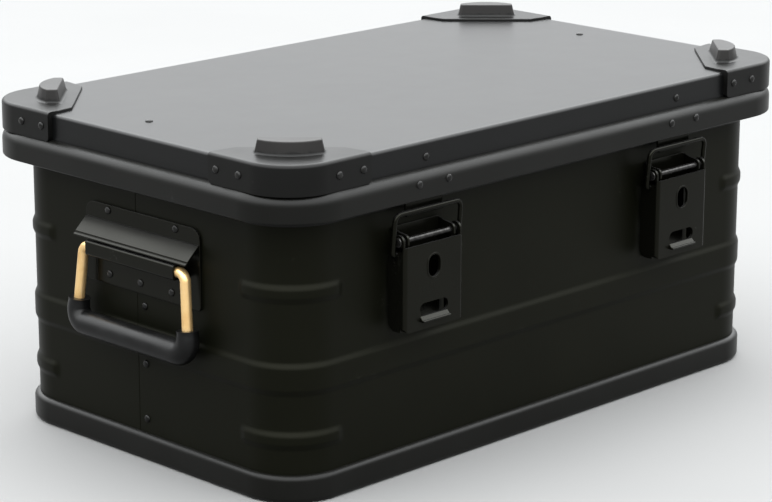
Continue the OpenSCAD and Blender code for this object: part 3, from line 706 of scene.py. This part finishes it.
FLANGE_Z, FLANGE_T, FLANGE_IN, HEAD_WALL, POCKET, POCKET_Z = 231.0, 2.5, 9.0, 2.5, 2.0, 241.0
CATCH_OUT, CATCH_HALF = STEP_OUT - SHEET - POCKET, 20.0


def head_section():
    nose, tip = HEAD_OUT, HEAD_WALL / 2
    return (
        [(0, HEAD_Z1)]
        + arc(0, HEAD_Z1 - nose, nose, 90, 0, 12)[1:]
        + arc(nose - tip, HEAD_Z0 + tip, tip, 0, -180, 8)
        + [(nose - HEAD_WALL, FLANGE_Z), (-FLANGE_IN, FLANGE_Z), (-FLANGE_IN, FLANGE_Z + FLANGE_T)]
        + [(-SHEET - POCKET, FLANGE_Z + FLANGE_T)]
        + [(-SHEET - POCKET, POCKET_Z), (-SHEET, POCKET_Z), (-SHEET, FLANGE_Z + FLANGE_T)]
        + [(0, FLANGE_Z + FLANGE_T)]
    )


def catch_notch(side):
    outline = [(CATCH_OUT - 0.1, HEAD_Z0), (CATCH_OUT + POCKET, HEAD_Z0), (CATCH_OUT + POCKET, HEAD_Z1 + 1),
               (CATCH_OUT - 0.1, HEAD_Z1 + 1)]
    return prism(outline, -CATCH_HALF - 0.2, CATCH_HALF + 0.2, front_place(side * LATCH_X))


lid_ring = swept_ring(head_section(), LID_X, LID_Y, LID_R, 18)
make("lid_frame_bar", [cut(lid_ring, [catch_notch(s) for s in (-1, 1)])], "frame_paint", "lid",
     ["lid_frame"], 50)

SEAL_GAP = 0.3
seal_z0 = SHELL_Z1 + RIM_FLANGE_T + SEAL_GAP
seal_section = ([(-FLANGE_IN, FLANGE_Z)] + arc(-FLANGE_IN + 2.25, seal_z0 + 2.25, 2.25, 180, 360, 10)
                + [(-FLANGE_IN + 4.5, FLANGE_Z)])
make("lid_seal_sponge", [swept_ring(seal_section, LID_X, LID_Y, LID_R)], "seal_rubber", "lid",
     ["lid_seal"], 50)

# ---- Corner protectors ----
GUARD_Z0 = 241.9
GUARD_EDGE = 3.0
GUARD_SHOULDER = 20.5
GUARD_END = 4.0


def run_lengths(points):
    """The length along a polyline to each of its points."""
    lengths = [0.0]
    for a, b in zip(points, points[1:]):
        lengths.append(lengths[-1] + (Vector(b) - Vector(a)).length)
    return lengths


def spaced(points, count):
    """Points at even steps along a polyline, with its sharp ends kept."""
    lengths = run_lengths(points)
    found = []
    for k in range(count + 1):
        want = lengths[-1] * k / count
        i = max(j for j in range(len(lengths) - 1) if lengths[j] <= want + 1e-9)
        f = (want - lengths[i]) / (lengths[i + 1] - lengths[i])
        found.append(Vector(points[i]).lerp(Vector(points[i + 1]), min(f, 1.0)))
    return found


def guard_shape():
    """A protector, measured from the lid's sharp corner: a thick wall under a plate with a round edge."""
    c = GUARD_R - GUARD_OUT
    ends = [0, 0.3, 1.0, 2.0, 3.0, GUARD_END]
    straight = [GUARD_LEG - e for e in ends] + [c + 20, c]
    outer = [((a, -GUARD_OUT), (0, -1)) for a in straight]
    for i in range(1, 20):
        a = math.radians(270 - 90 * i / 20)
        outer.append(((c + GUARD_R * math.cos(a), c + GUARD_R * math.sin(a)), (math.cos(a), math.sin(a))))
    outer += [((-GUARD_OUT, a), (-1, 0)) for a in reversed(straight)]
    lid_side = [(GUARD_LEG, 0.0), (LID_R, 0.0)]
    lid_side += arc(LID_R, LID_R, LID_R, 270, 180, 16) + [(0.0, GUARD_LEG)]
    inner_edge = rounded_outline(
        [(GUARD_LEG, LID_EDGE + 0.6), (GUARD_LEG - 1, GUARD_SHOULDER), (GUARD_SHOULDER, GUARD_LEG - 1),
         (LID_EDGE + 0.6, GUARD_LEG)], [0, 9, 9, 0], 8)
    lengths = run_lengths([p for p, _ in outer])
    total = lengths[-1]
    steps = 400
    lid_points, edge_points = spaced(lid_side, steps), spaced(inner_edge, steps)
    top = LID_TOP + GUARD_TOP
    loops = []
    for ((x, y), (nx, ny)), length in zip(outer, lengths):
        share = length / total
        from_end = min(share, 1 - share) * total
        lift = 0.0
        if from_end < GUARD_END:
            lift = GUARD_END - math.sqrt(GUARD_END ** 2 - (GUARD_END - from_end) ** 2)
        out = Vector((nx, ny))
        here = Vector((x, y))
        lid_point, edge_point = lid_points[round(share * steps)], edge_points[round(share * steps)]
        reach = (edge_point - here).length
        inward = (edge_point - here).normalized()
        section = [(here - out * 0.7, GUARD_Z0 + lift), (here - out * 0.2, GUARD_Z0 + lift + 0.2),
                   (here, GUARD_Z0 + lift + 0.7)]
        for i in range(7):
            a = math.radians(90 * i / 6)
            section.append((here - out * GUARD_EDGE * (1 - math.cos(a)),
                            top - GUARD_EDGE + GUARD_EDGE * math.sin(a)))
        section += [(here + inward * (reach - 1.0), top), (here + inward * (reach - 0.3), top - 0.3),
                    (edge_point, top - 1.0), (edge_point, LID_TOP + 0.02),
                    (lid_point - out * LID_EDGE, LID_TOP + 0.02), (lid_point - out * 0.9, LID_TOP - 0.9),
                    (lid_point, LID_TOP - LID_EDGE), (lid_point, GUARD_Z0 + lift)]
        loops.append([Vector((p.x, p.y, z)) for p, z in section])
    return loft(loops)


KNOB_R, KNOB_FLAT, KNOB_HALF, KNOB_DRAFT, KNOB_CORNER = 38.0, 17.8, 25.5, 1.8, 2.4


def knob_outline(inset, pulled=0.0):
    """The knob's D, inset and with its corners rounded, then pulled in square to its edge."""
    r, flat, half = KNOB_R - inset, KNOB_FLAT + inset, KNOB_HALF - inset
    turn = math.degrees(math.asin(half / r))
    face = arc(0, 0, r, -turn, turn, 16)
    start = rounded_corner((flat, -half), face[0], face[1], KNOB_CORNER, 5)
    end = rounded_corner(face[-2], face[-1], (flat, half), KNOB_CORNER, 5)
    back = rounded_corner(face[-1], (flat, half), (flat, 0), KNOB_CORNER, 5)
    front = rounded_corner((flat, 0), (flat, -half), face[0], KNOB_CORNER, 5)
    loop = [Vector(p) for p in front + start + face[2:-2] + end + back]
    result = []
    for i, p in enumerate(loop):
        along = (loop[(i + 1) % len(loop)] - loop[i - 1]).normalized()
        result.append(p + Vector((-along.y, along.x)) * pulled)
    return result


def knob_shape():
    foot, crown = 2.2, 1.2
    rows = [(-foot, 0, -0.6)]
    for i in range(6):
        a = math.radians(90 * i / 5)
        rows.append((-foot * (1 - math.sin(a)), 0, foot * (1 - math.cos(a))))
    side_end = KNOB_H - crown
    for i in range(7):
        a = math.radians(90 * i / 6)
        rows.append((KNOB_DRAFT * side_end / KNOB_H, crown * (1 - math.cos(a)) * 0.98,
                     side_end + crown * math.sin(a)))
    c = STEP_OUT + BODY_R
    loops = []
    for inset, pulled, z in rows:
        loop = []
        for x, y in knob_outline(inset, pulled):
            along, across = -x * math.sqrt(0.5), y * math.sqrt(0.5)
            loop.append(Vector((c + along + across, c + along - across, LID_TOP + GUARD_TOP + z)))
        loops.append(loop)
    return loft(loops)


def at_corner(shape, sx, sy):
    return moved(shape, lambda p: Vector((sx * (LID_X - p.x), sy * (LID_Y - p.y), p.z)))


for side_name, sx in SIDES.items():
    for face_name, sy in (("front", -1), ("rear", 1)):
        node = f"corner_guard_{face_name}_{side_name}"
        make(node + "_casting", [at_corner(guard_shape(), sx, sy), at_corner(knob_shape(), sx, sy)],
             "guard_paint", "lid", [node], 40)

# ---- Rivets ----
HEAD_R, HEAD_H, TAIL_R, TAIL_H, SHANK_R = 3.1, 1.7, 3.0, 1.2, 1.8
OUTWARD = {"front": (0, -1, 0), "back": (0, 1, 0), "left": (-1, 0, 0), "right": (1, 0, 0), "up": (0, 0, 1)}


def rivet(point, turn, grip, tail=True):
    """A domed head on a face, a shank through it, and a flattened tail."""
    up = Vector(OUTWARD[turn])
    side = up.orthogonal().normalized()
    other = up.cross(side)
    profile = [(0.02, HEAD_H)]
    for i in range(1, 7):
        a = math.radians(90 * i / 6)
        profile.append((HEAD_R * math.sin(a), 0.25 + (HEAD_H - 0.25) * math.cos(a)))
    profile += [(HEAD_R, 0.0), (SHANK_R, 0.0)]
    if tail:
        end = -grip - TAIL_H
        profile += [(SHANK_R, -grip), (TAIL_R - 0.3, -grip), (TAIL_R, -grip - 0.3), (TAIL_R, end + 0.4),
                    (TAIL_R - 0.6, end), (0.02, end)]
    else:
        profile += [(SHANK_R, -grip), (0.02, -grip)]
    return loft([round_ring(Vector(point) + up * h, side, other, r, 20) for r, h in profile])


STRAP_LOW = (39.6, 194.6)
STRAP_X, STRAP_T = 276.2, 1.2
PLATE_T, CLAMP_T, LEAF_T, LATCH_T = 2.0, 2.0, 2.0, 2.0
SEAM_RIVET_Z = (33.5, 78.5, 125)
PANEL_RIVET_IN, PANEL_RIVET_X, PANEL_RIVET_Y = 7.5, (-180, 0, 180), (-70, 70)
LATCH_RIVET_X, LATCH_RIVET_Z = (-18, 18), (145, 172)
CLAMP_RIVET_Y, CLAMP_RIVET_Z = 36.5, 144.5
HINGE_RIVET_X, CASE_LEAF_RIVET_Z, LID_LEAF_RIVET_Z, LID_LEAF_GRIP = (-18, 0, 18), 190, 235.5, 8
CATCH_RIVET_X, CATCH_RIVET_Z, SKIRT_RIVET_Z = 15.85, 233.7, 251.3
GUARD_RIVET_ALONG, GUARD_RIVET_Z = (47.5, 72), 254
BRACKET_RIVET_X, BRACKET_RIVET_Y = 253, 22
groups = defaultdict(list)
for side_name, s in SIDES.items():
    groups["seam"] += [rivet((s * BODY_X, 0, z), side_name, 2 * SHEET) for z in SEAM_RIVET_Z]
    x, y, z = s * (BODY_X - PANEL_RIVET_IN), s * (BODY_Y - PANEL_RIVET_IN), panel_hi.z
    groups["bottom"] += [rivet((x, v, z), "up", 2 * SHEET) for v in PANEL_RIVET_Y]
    groups["bottom"] += [rivet((v, y, z), "up", 2 * SHEET) for v in PANEL_RIVET_X]
    x0 = s * LATCH_X
    groups["latch"] += [rivet((x0 + x, -BODY_Y - LATCH_T, z), "front", LATCH_T + SHEET)
                        for x in LATCH_RIVET_X for z in LATCH_RIVET_Z]
    x = s * (BODY_X + PLATE_T)
    groups["handle"].append(rivet((x, -STRAP_LOW[0], STRAP_LOW[1]), side_name, PLATE_T + SHEET))
    groups["handle"].append(rivet((x, *STRAP_LOW), side_name, PLATE_T + BODY_X - STRAP_X + STRAP_T))
    x, grip = s * (BODY_X + PLATE_T + CLAMP_T), PLATE_T + CLAMP_T + SHEET
    groups["handle"] += [rivet((x, y, CLAMP_RIVET_Z), side_name, grip)
                         for y in (-CLAMP_RIVET_Y, CLAMP_RIVET_Y)]
    groups["handle"].append(rivet((x, 0, CLAMP_RIVET_Z), side_name, grip + SHEET))
    groups["hinge_case"] += [rivet((x0 + x, BODY_Y + LEAF_T, CASE_LEAF_RIVET_Z), "back", LEAF_T + SHEET)
                             for x in HINGE_RIVET_X]
    y = BODY_Y + STEP_OUT + HEAD_OUT
    groups["hinge_lid"] += [rivet((x0 + x, y + LEAF_T, LID_LEAF_RIVET_Z), "back", LEAF_T + LID_LEAF_GRIP,
                                  False) for x in HINGE_RIVET_X]
    groups["catch"] += [rivet((x0 + x, -y, CATCH_RIVET_Z), "front", HEAD_OUT + SHEET + POCKET, False)
                        for x in (-CATCH_RIVET_X, CATCH_RIVET_X)]
    groups["catch"].append(rivet((x0, -BODY_Y - STEP_OUT, SKIRT_RIVET_Z), "front", SHEET + POCKET))
    for face_name, f in (("front", -1), ("back", 1)):
        for u in GUARD_RIVET_ALONG:
            for x, y, turn in ((LID_X - u, LID_Y + GUARD_OUT, face_name),
                               (LID_X + GUARD_OUT, LID_Y - u, side_name)):
                groups["guard"].append(rivet((s * x, f * y, GUARD_RIVET_Z), turn, GUARD_OUT + SHEET))
    groups["strap"].append(rivet((s * BRACKET_RIVET_X, BRACKET_RIVET_Y, LID_TOP), "up", 2 * SHEET))
LID_GROUPS = ("hinge_lid", "catch", "guard", "strap")
BRIGHT = ("handle", "catch", "guard")
for group, shapes in groups.items():
    make(f"{group}_rivet_heads", shapes, "bright_rivet" if group in BRIGHT else "dark_rivet",
         "lid" if group in LID_GROUPS else "case", [f"{group}_rivets"], 45)

# ---- Latches ----
lever_lo, lever_hi = box_mm("latch_lever_right")
LEVER_W = lever_hi.x - lever_lo.x
LIP_Z, LIP_HALF = 126.4, 15
# across, height, width, height of each opening in the face
OVAL_HOLE, HOLE_RIM, SLOT = (0, 168.5, 13, 17.5), (0, 168.5, 16, 20.5), (0, 136, 31, 10)
LEVER_FACE, LEVER_Z0, LEVER_Z1, LEVER_T = 21.0, 120.5, 187.0, 2.0
bail_lo, bail_hi = box_mm("latch_bail_right")
WIRE_R = 2.0
BAIL_HALF = (bail_hi.x - bail_lo.x) / 2 - WIRE_R
BAIL_OUT, BAIL_Z = 14.5, bail_hi.z - WIRE_R


def stadium(cx, cz, w, h, steps=10):
    if w > h:
        r, off = h / 2, (w - h) / 2
        return arc(cx + off, cz, r, -90, 90, steps) + arc(cx - off, cz, r, 90, 270, steps)
    r, off = w / 2, (h - w) / 2
    return arc(cx, cz + off, r, 0, 180, steps) + arc(cx, cz - off, r, 180, 360, steps)


def lever_channel(x0):
    """The folded lever: a pierced face with rolled edges and two flanges, its lower corners cut away."""
    half, bend, back = LEVER_W / 2, 3.0, 2.8
    outer = [(-half, back)] + arc(-half + bend, LEVER_FACE - bend, bend, 180, 90, 6)
    outer += arc(half - bend, LEVER_FACE - bend, bend, 90, 0, 6) + [(half, back)]
    inner_bend = bend - LEVER_T
    inner = [(half - LEVER_T, back)]
    inner += arc(half - bend, LEVER_FACE - bend, inner_bend, 0, 90, 4)
    inner += arc(-half + bend, LEVER_FACE - bend, inner_bend, 90, 180, 4) + [(-half + LEVER_T, back)]
    channel = loft([[Vector((x0 + a, -BODY_Y - b, z)) for a, b in outer + inner]
                    for z in (LEVER_Z0, LEVER_Z1)])
    side = front_place(x0)
    lower = prism([(0, LEVER_Z0 - 1), (9.0, LEVER_Z0 - 1), (2.0, LEVER_Z0 + 6)], -half - 1, half + 1, side)
    upper = prism([(0, 178), (2.8, 178), (10, LEVER_Z1 + 2), (0, LEVER_Z1 + 2)], -half - 1, half + 1, side)
    # the face's two upper corners stay; its lower ones are rounded
    corners = []
    r = 5.0
    for k in (-1, 1):
        x, past = k * (half - r), k * (half + 1)
        outline = [(past, LEVER_Z0 - 1), (past, LEVER_Z0 + r), (k * half, LEVER_Z0 + r)]
        outline += arc(x, LEVER_Z0 + r, r, 0 if k > 0 else 180, -90 if k > 0 else 270, 6)[1:]
        outline += [(x, LEVER_Z0 - 1)]
        corners.append(prism(outline, -5, 1, front_face(x0, LEVER_FACE)))
    holes = [prism(stadium(*hole), -6, 2, front_face(x0, LEVER_FACE)) for hole in (OVAL_HOLE, SLOT)]
    return cut(channel, [lower, upper, *corners, *holes])


def latch_lever(side):
    x0 = side * LATCH_X
    half = LEVER_W / 2
    shapes = [lever_channel(x0)]
    for k in (-1, 1):
        t = sorted((k * (half - LEVER_T), k * half))
        ear = [(9.6, 183.5), (19.3, 183.5)] + arc(*LEVER_AXIS, 5.5, 0, 180, 18)
        shapes.append(plate(ear, *t, front_place(x0), [arc(*LEVER_AXIS, 2.55, 0, 350, 35)], 0.3))
    # rim pressed out round the oval hole, and the pull lip under the slot
    shapes.append(plate(stadium(*HOLE_RIM), -0.3, 0.35, front_face(x0, LEVER_FACE),
                        [stadium(*OVAL_HOLE)], 0.25))
    lip = rounded_outline([(LEVER_FACE - 1.2, LIP_Z + 4.5), (LEVER_FACE, LIP_Z + 4.5), (23.6, LIP_Z + 1.9),
                           (24.6, LIP_Z + 2.1), (25.3, LIP_Z + 1.4), (24.6, LIP_Z + 0.2),
                           (LEVER_FACE - 1.2, LIP_Z)],
                          [0, 0.3, 0.4, 0.35, 0.4, 0.4, 0], 4)
    shapes.append(plate(lip, -LIP_HALF, LIP_HALF, front_place(x0), edge=0.6))
    return shapes


def latch_bail(side):
    """One bent wire: two feet, two legs and the cross bar that catches the lid."""
    x0 = side * LATCH_X
    inner = 28.9

    def at(x, out, z):
        return Vector((x0 + x, -BODY_Y - out, z))

    corners = [at(-inner, *TAIL_AXIS), at(-BAIL_HALF, *TAIL_AXIS), at(-BAIL_HALF, BAIL_OUT, BAIL_Z),
               at(BAIL_HALF, BAIL_OUT, BAIL_Z), at(BAIL_HALF, *TAIL_AXIS), at(inner, *TAIL_AXIS)]
    path = bent_path(corners[:3], 2.6, 6)[:-1] + bent_path(corners[1:5], 6.0, 8)[1:-1]
    path += bent_path(corners[3:], 2.6, 6)[1:]
    return [tube(path, WIRE_R - 0.05, 16)]


BASE_HALF, BASE_Z = 26.0, (118, 200)


def latch_base(side):
    x0 = side * LATCH_X
    low, high = BASE_Z
    sheet = rounded_outline([(-BASE_HALF, low), (BASE_HALF, low), (BASE_HALF, high), (-BASE_HALF, high)], 4)
    shapes = [plate(sheet, 0, LATCH_T, front_face(x0, 0))]
    out, z = LEVER_AXIS
    ear = rounded_outline([(1.0, 176), (8, 181), (out + 4.4, z - 4.6), (out + 4.4, z + 4.6),
                           (8, 197), (1.0, 199)], [0, 2, 4, 4, 3, 0], 6)
    for k in (-1, 1):
        t = sorted((k * (BASE_HALF - LATCH_T), k * BASE_HALF))
        shapes.append(plate(ear, *t, front_place(x0), [arc(*LEVER_AXIS, 2.5, 0, 345, 23)]))
    return shapes


def pin(axis, r, half, head_r, head_t, place):
    shapes = [plate(arc(*axis, r, 0, 345, 23), -half - 0.2, half + 0.2, place, edge=0.1)]
    for k in (-1, 1):
        t = sorted((k * half, k * (half + head_t)))
        shapes.append(plate(arc(*axis, head_r, 0, 345, 23), *t, place, edge=0.6))
    return shapes


CATCH_Z = (208.0, 257.0)


def catch_plate(side):
    """The catch hangs behind the lid's skirt, with a rolled hook along its foot."""
    x0 = side * LATCH_X
    z0, z1 = CATCH_Z
    face = CATCH_OUT + POCKET
    outline = rounded_outline([(CATCH_OUT, z0), (face + 1.6, z0), (face + 1.6, z0 + 3), (face, z0 + 3),
                               (face, z1), (CATCH_OUT, z1)], [0.8, 1.2, 1.2, 0.4, 0.5, 0.5], 4)
    return [plate(outline, -CATCH_HALF, CATCH_HALF, front_place(x0))]


for side_name, s in SIDES.items():
    make(f"latch_lever_{side_name}_pressing", latch_lever(s), "hardware_paint", f"latch_{side_name}",
         [f"latch_lever_{side_name}"])
    make(f"latch_bail_{side_name}_wire", latch_bail(s), "hardware_paint", f"bail_{side_name}",
         [f"latch_bail_{side_name}"])
    make(f"latch_base_{side_name}_pressing", latch_base(s), "hardware_paint", "case",
         [f"latch_base_{side_name}"])
    make(f"latch_pin_{side_name}_steel",
         pin(LEVER_AXIS, 2.5, LEVER_W / 2 + 0.1, 4.0, 1.5, front_place(s * LATCH_X)),
         "bright_rivet", "case", [f"latch_pin_{side_name}"], look="pin_steel")
    make(f"catch_{side_name}_plate", catch_plate(s), "hardware_paint", "lid", [f"catch_{side_name}"])

# ---- Handles ----
PLATE_HALF, PLATE_Z0, PLATE_Z1 = 67.0, 135.0, 199.0
PIVOT_OUT, PIVOT_Z = PIVOT.x - BODY_X, PIVOT.z
ROD_R, CLAMP_HIGH, CLAMP_HALF = 4.25, 6.2, 52.0
GRIP_R = 10.0
GRIP_OUT, GRIP_Z = 14.0, box_mm("handle_grip_right")[0].z + GRIP_R
GRIP_HALF, ROD_TOP, ROD_TAIL = 66.0, 59.7, 20.0
COLLAR_R, COLLAR_Z = 8.75, 122.0
HOOD_HALF, FOLD_Z = 66.0, 186.5


def handle_plate(side):
    outline = rounded_outline([(-PLATE_HALF, PLATE_Z0), (PLATE_HALF, PLATE_Z0), (PLATE_HALF, PLATE_Z1),
                               (-PLATE_HALF, PLATE_Z1)], [3, 3, 10, 10], 8)
    # a folded hood: slope, a sharp drop, and a thin lip that catches the light
    outside = [(1.0, FOLD_Z + 0.4), (2.6, FOLD_Z), (13.6, 176.1), (13.9, 174.9), (14.7, 174.9), (15.9, 173.8)]
    inside = [(15.9, 172.9), (13.4, 172.7), (12.8, 174.1), (2.6, 183.9), (1.0, 183.9)]
    hood = rounded_outline(outside + inside, [0, 2.0, 0.6, 0.2, 0.3, 0.35, 0.3, 0.4, 0.8, 1.0, 0], 4)
    return [plate(outline, 0, PLATE_T, end_face(side, 0)),
            plate(hood, -HOOD_HALF, HOOD_HALF, end_place(side), edge=0.25)]


def handle_clamp(side):
    """A saddle that holds the rod's two tails against the plate."""
    wall = [(PLATE_T, 137), (PLATE_T + CLAMP_T, 137), (PLATE_T + CLAMP_T, PIVOT_Z - CLAMP_HIGH)]
    front, bend = PIVOT_OUT + ROD_R + 1.2, 2.5
    box = arc(front - bend, PIVOT_Z - CLAMP_HIGH + bend, bend, -90, 0, 6)
    box += arc(front - bend, PIVOT_Z + CLAMP_HIGH - bend, bend, 0, 90, 6)
    outline = wall + box + [(PLATE_T, PIVOT_Z + CLAMP_HIGH)]
    hole = arc(PIVOT_OUT, PIVOT_Z, ROD_R + 0.05, 0, 345, 23)
    return [plate(outline, -CLAMP_HALF, CLAMP_HALF, end_place(side), [hole], edge=0.5)]


def handle_points(side):
    def at(y, out, z):
        return Vector((side * (BODY_X + out), y, z))

    pivot, bar = (PIVOT_OUT, PIVOT_Z), (GRIP_OUT, GRIP_Z)
    return [at(-ROD_TAIL, *pivot), at(-ROD_TOP, *pivot), at(-GRIP_HALF, *bar), at(GRIP_HALF, *bar),
            at(ROD_TOP, *pivot), at(ROD_TAIL, *pivot)]


def handle_rod(side):
    return [tube(bent_path(handle_points(side), 7.0, 8), ROD_R, 24)]


def handle_grip(side):
    """Moulded over the rod's cross bar: thick along the bar, easing to a rimmed collar on each leg."""
    points = handle_points(side)
    share = (COLLAR_Z - GRIP_Z) / (PIVOT_Z - GRIP_Z)
    ends = [points[2].lerp(points[1], share), points[3].lerp(points[4], share)]
    route = bent_path([ends[0], points[2], points[3], ends[1]], 11.0, 12)
    path = []
    for a, b in zip(route, route[1:]):
        count = max(1, round((b - a).length / 2.0)) if (b - a).length < 30 else 24
        path += [a.lerp(b, i / count) for i in range(count)]
    path.append(route[-1])
    lengths = run_lengths(path)
    total = lengths[-1]
    radii = []
    for length in lengths:
        d = min(length, total - length)
        if d < 0.4:
            r = COLLAR_R + 0.25 - 0.5 * (0.4 - d)
        elif d < 2.2:
            r = COLLAR_R + 0.25
        elif d < 3.0:
            r = COLLAR_R - 0.35
        else:
            r = COLLAR_R + (GRIP_R - COLLAR_R) * smooth_step((d - 3.0) / 22.0)
        radii.append(r)
    return [tube(path, radii, 32)]


for side_name, s in SIDES.items():
    make(f"handle_plate_{side_name}_pressing", handle_plate(s), "hardware_paint", "case",
         [f"handle_plate_{side_name}"])
    make(f"handle_clamp_{side_name}_saddle", handle_clamp(s), "hardware_paint", "case",
         [f"handle_clamp_{side_name}"])
    make(f"handle_bail_{side_name}_rod", handle_rod(s), "zinc_steel", f"handle_{side_name}",
         [f"handle_bail_{side_name}"])
    make(f"handle_grip_{side_name}_moulding", handle_grip(s), "grip_rubber", f"handle_{side_name}",
         [f"handle_grip_{side_name}"])

# ---- Hinges: the CAD pieces, with softened edges ----
for side_name in SIDES:
    keep(f"hinge_case_leaf_{side_name}", "hardware_paint")
    keep(f"hinge_lid_leaf_{side_name}", "hardware_paint")
    keep(f"hinge_pin_{side_name}", "bright_rivet")
    keep(f"strap_bracket_{side_name}", "hardware_paint")

# ---- Lid straps: taut when the lid is open, rolled back with it when it closes ----
STRAP_W, STRAP_HIGH = 16.0, (22.0, 242.0)
LID_OPEN = math.radians(100)
STRAP_STEPS = 60


def turned(p, angle):
    """p = (y, z) turned about the hinge; a positive angle closes the lid."""
    y, z = p[0] - HINGE.y, p[1] - HINGE.z
    c, s = math.cos(angle), math.sin(angle)
    return Vector((HINGE.y + y * c - z * s, HINGE.z + y * s + z * c))


def strap_rest(taut, start, end):
    along = end - start
    low, high = 0.0, 1.0
    for _ in range(40):
        w = (low + high) / 2
        t = (turned(taut, LID_OPEN * w) - start).dot(along) / along.length_squared
        if smooth_step(t) > w:
            low = w
        else:
            high = w
    return turned(taut, LID_OPEN * (low + high) / 2)


def lid_strap(side_name, s):
    start, end = Vector(STRAP_LOW), Vector(STRAP_HIGH)
    opened = turned(end, -LID_OPEN)
    along = (opened - start).normalized()
    across = Vector((-along.y, along.x)) * STRAP_W / 2
    rows = []
    for i in range(-3, STRAP_STEPS + 4):
        taut = start.lerp(opened, i / STRAP_STEPS)
        rows.append([strap_rest(taut + across * k, start, end) for k in (-1, -0.5, 0, 0.5, 1)])
    loops = []
    for row in rows:
        outer = [Vector((s * STRAP_X, p.x, p.y)) for p in row]
        inner = [Vector((s * (STRAP_X - STRAP_T), p.x, p.y)) for p in reversed(row)]
        loops.append(outer + inner)
    strap = make(f"lid_strap_{side_name}_webbing", [loft(loops)], "strap_webbing",
                 replaces=[f"lid_strap_{side_name}"])
    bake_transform(strap)


for side_name, s in SIDES.items():
    lid_strap(side_name, s)

# ---- Floor, light and camera ----
FLOOR_HALF = 6.0
LIGHT_AT, LIGHT_AIM, LIGHT_SIDE, LIGHT_W = (0.5, 0.6, 3.2), (0, 0, 0.1), 1.6, 60
CAMERA_AT = (-1.60059, -1.57045, 0.73035)


def stage():
    floor_mesh = bpy.data.meshes.new("floor")
    corners = [(FLOOR_HALF * x, FLOOR_HALF * y, 0) for x, y in ((-1, -1), (1, -1), (1, 1), (-1, 1))]
    floor_mesh.from_pydata(corners, [], [(0, 1, 2, 3)])
    floor = placed("floor", floor_mesh)
    n = Nodes("pale_floor")
    n.set(Base_Color=n.mixed(n.noise(400, 3.0), (0.126, 0.126, 0.125), (0.134, 0.134, 0.133)))
    n.set(Roughness=0.9, Specular_IOR_Level=0.1)
    floor_mesh.materials.append(n.material)

    world = bpy.data.worlds.new("studio")
    world.use_nodes = True
    tree = world.node_tree
    background = tree.nodes["Background"]
    background.inputs["Color"].default_value = (0.97, 0.99, 1.0, 1.0)
    place = tree.nodes.new("ShaderNodeTexCoord")
    height = tree.nodes.new("ShaderNodeSeparateXYZ")
    glow = tree.nodes.new("ShaderNodeMapRange")
    glow.interpolation_type = "SMOOTHSTEP"
    for socket, value in zip(("From Min", "From Max", "To Min", "To Max"), (0.12, 0.6, 1.0, 7.4)):
        glow.inputs[socket].default_value = value
    tree.links.new(place.outputs["Generated"], height.inputs["Vector"])
    tree.links.new(height.outputs["Z"], glow.inputs["Value"])
    tree.links.new(glow.outputs["Result"], background.inputs["Strength"])
    bpy.context.scene.world = world


def overhead_light():
    data = bpy.data.lights.new("overhead", "AREA")
    data.size, data.energy = LIGHT_SIDE, LIGHT_W
    light = placed("overhead", data)
    light.location = LIGHT_AT
    light.rotation_mode = "QUATERNION"
    light.rotation_quaternion = (Vector(LIGHT_AIM) - Vector(LIGHT_AT)).to_track_quat("-Z", "Y")


def make_camera():
    """At the viewing angle of the photograph, given from the object to the camera."""
    azimuth, elevation, roll = math.radians(-45.27), math.radians(15.34), math.radians(0.13)
    back = Vector((math.sin(azimuth) * math.cos(elevation), -math.cos(azimuth) * math.cos(elevation),
                   math.sin(elevation)))
    right = Vector((0, 0, 1)).cross(back).normalized()
    up = back.cross(right)
    right, up = right * math.cos(roll) + up * math.sin(roll), up * math.cos(roll) - right * math.sin(roll)
    data = bpy.data.cameras.new("camera")
    data.sensor_width = 36.0
    data.lens = 128.64
    data.clip_start, data.clip_end = 0.1, 50.0
    camera = placed("camera", data)
    turn = Matrix((right, up, back)).transposed().to_4x4()
    camera.matrix_world = Matrix.Translation(CAMERA_AT) @ turn
    bpy.context.scene.camera = camera
    bpy.context.scene.view_settings.view_transform = "Standard"


stage()
make_camera()
overhead_light()
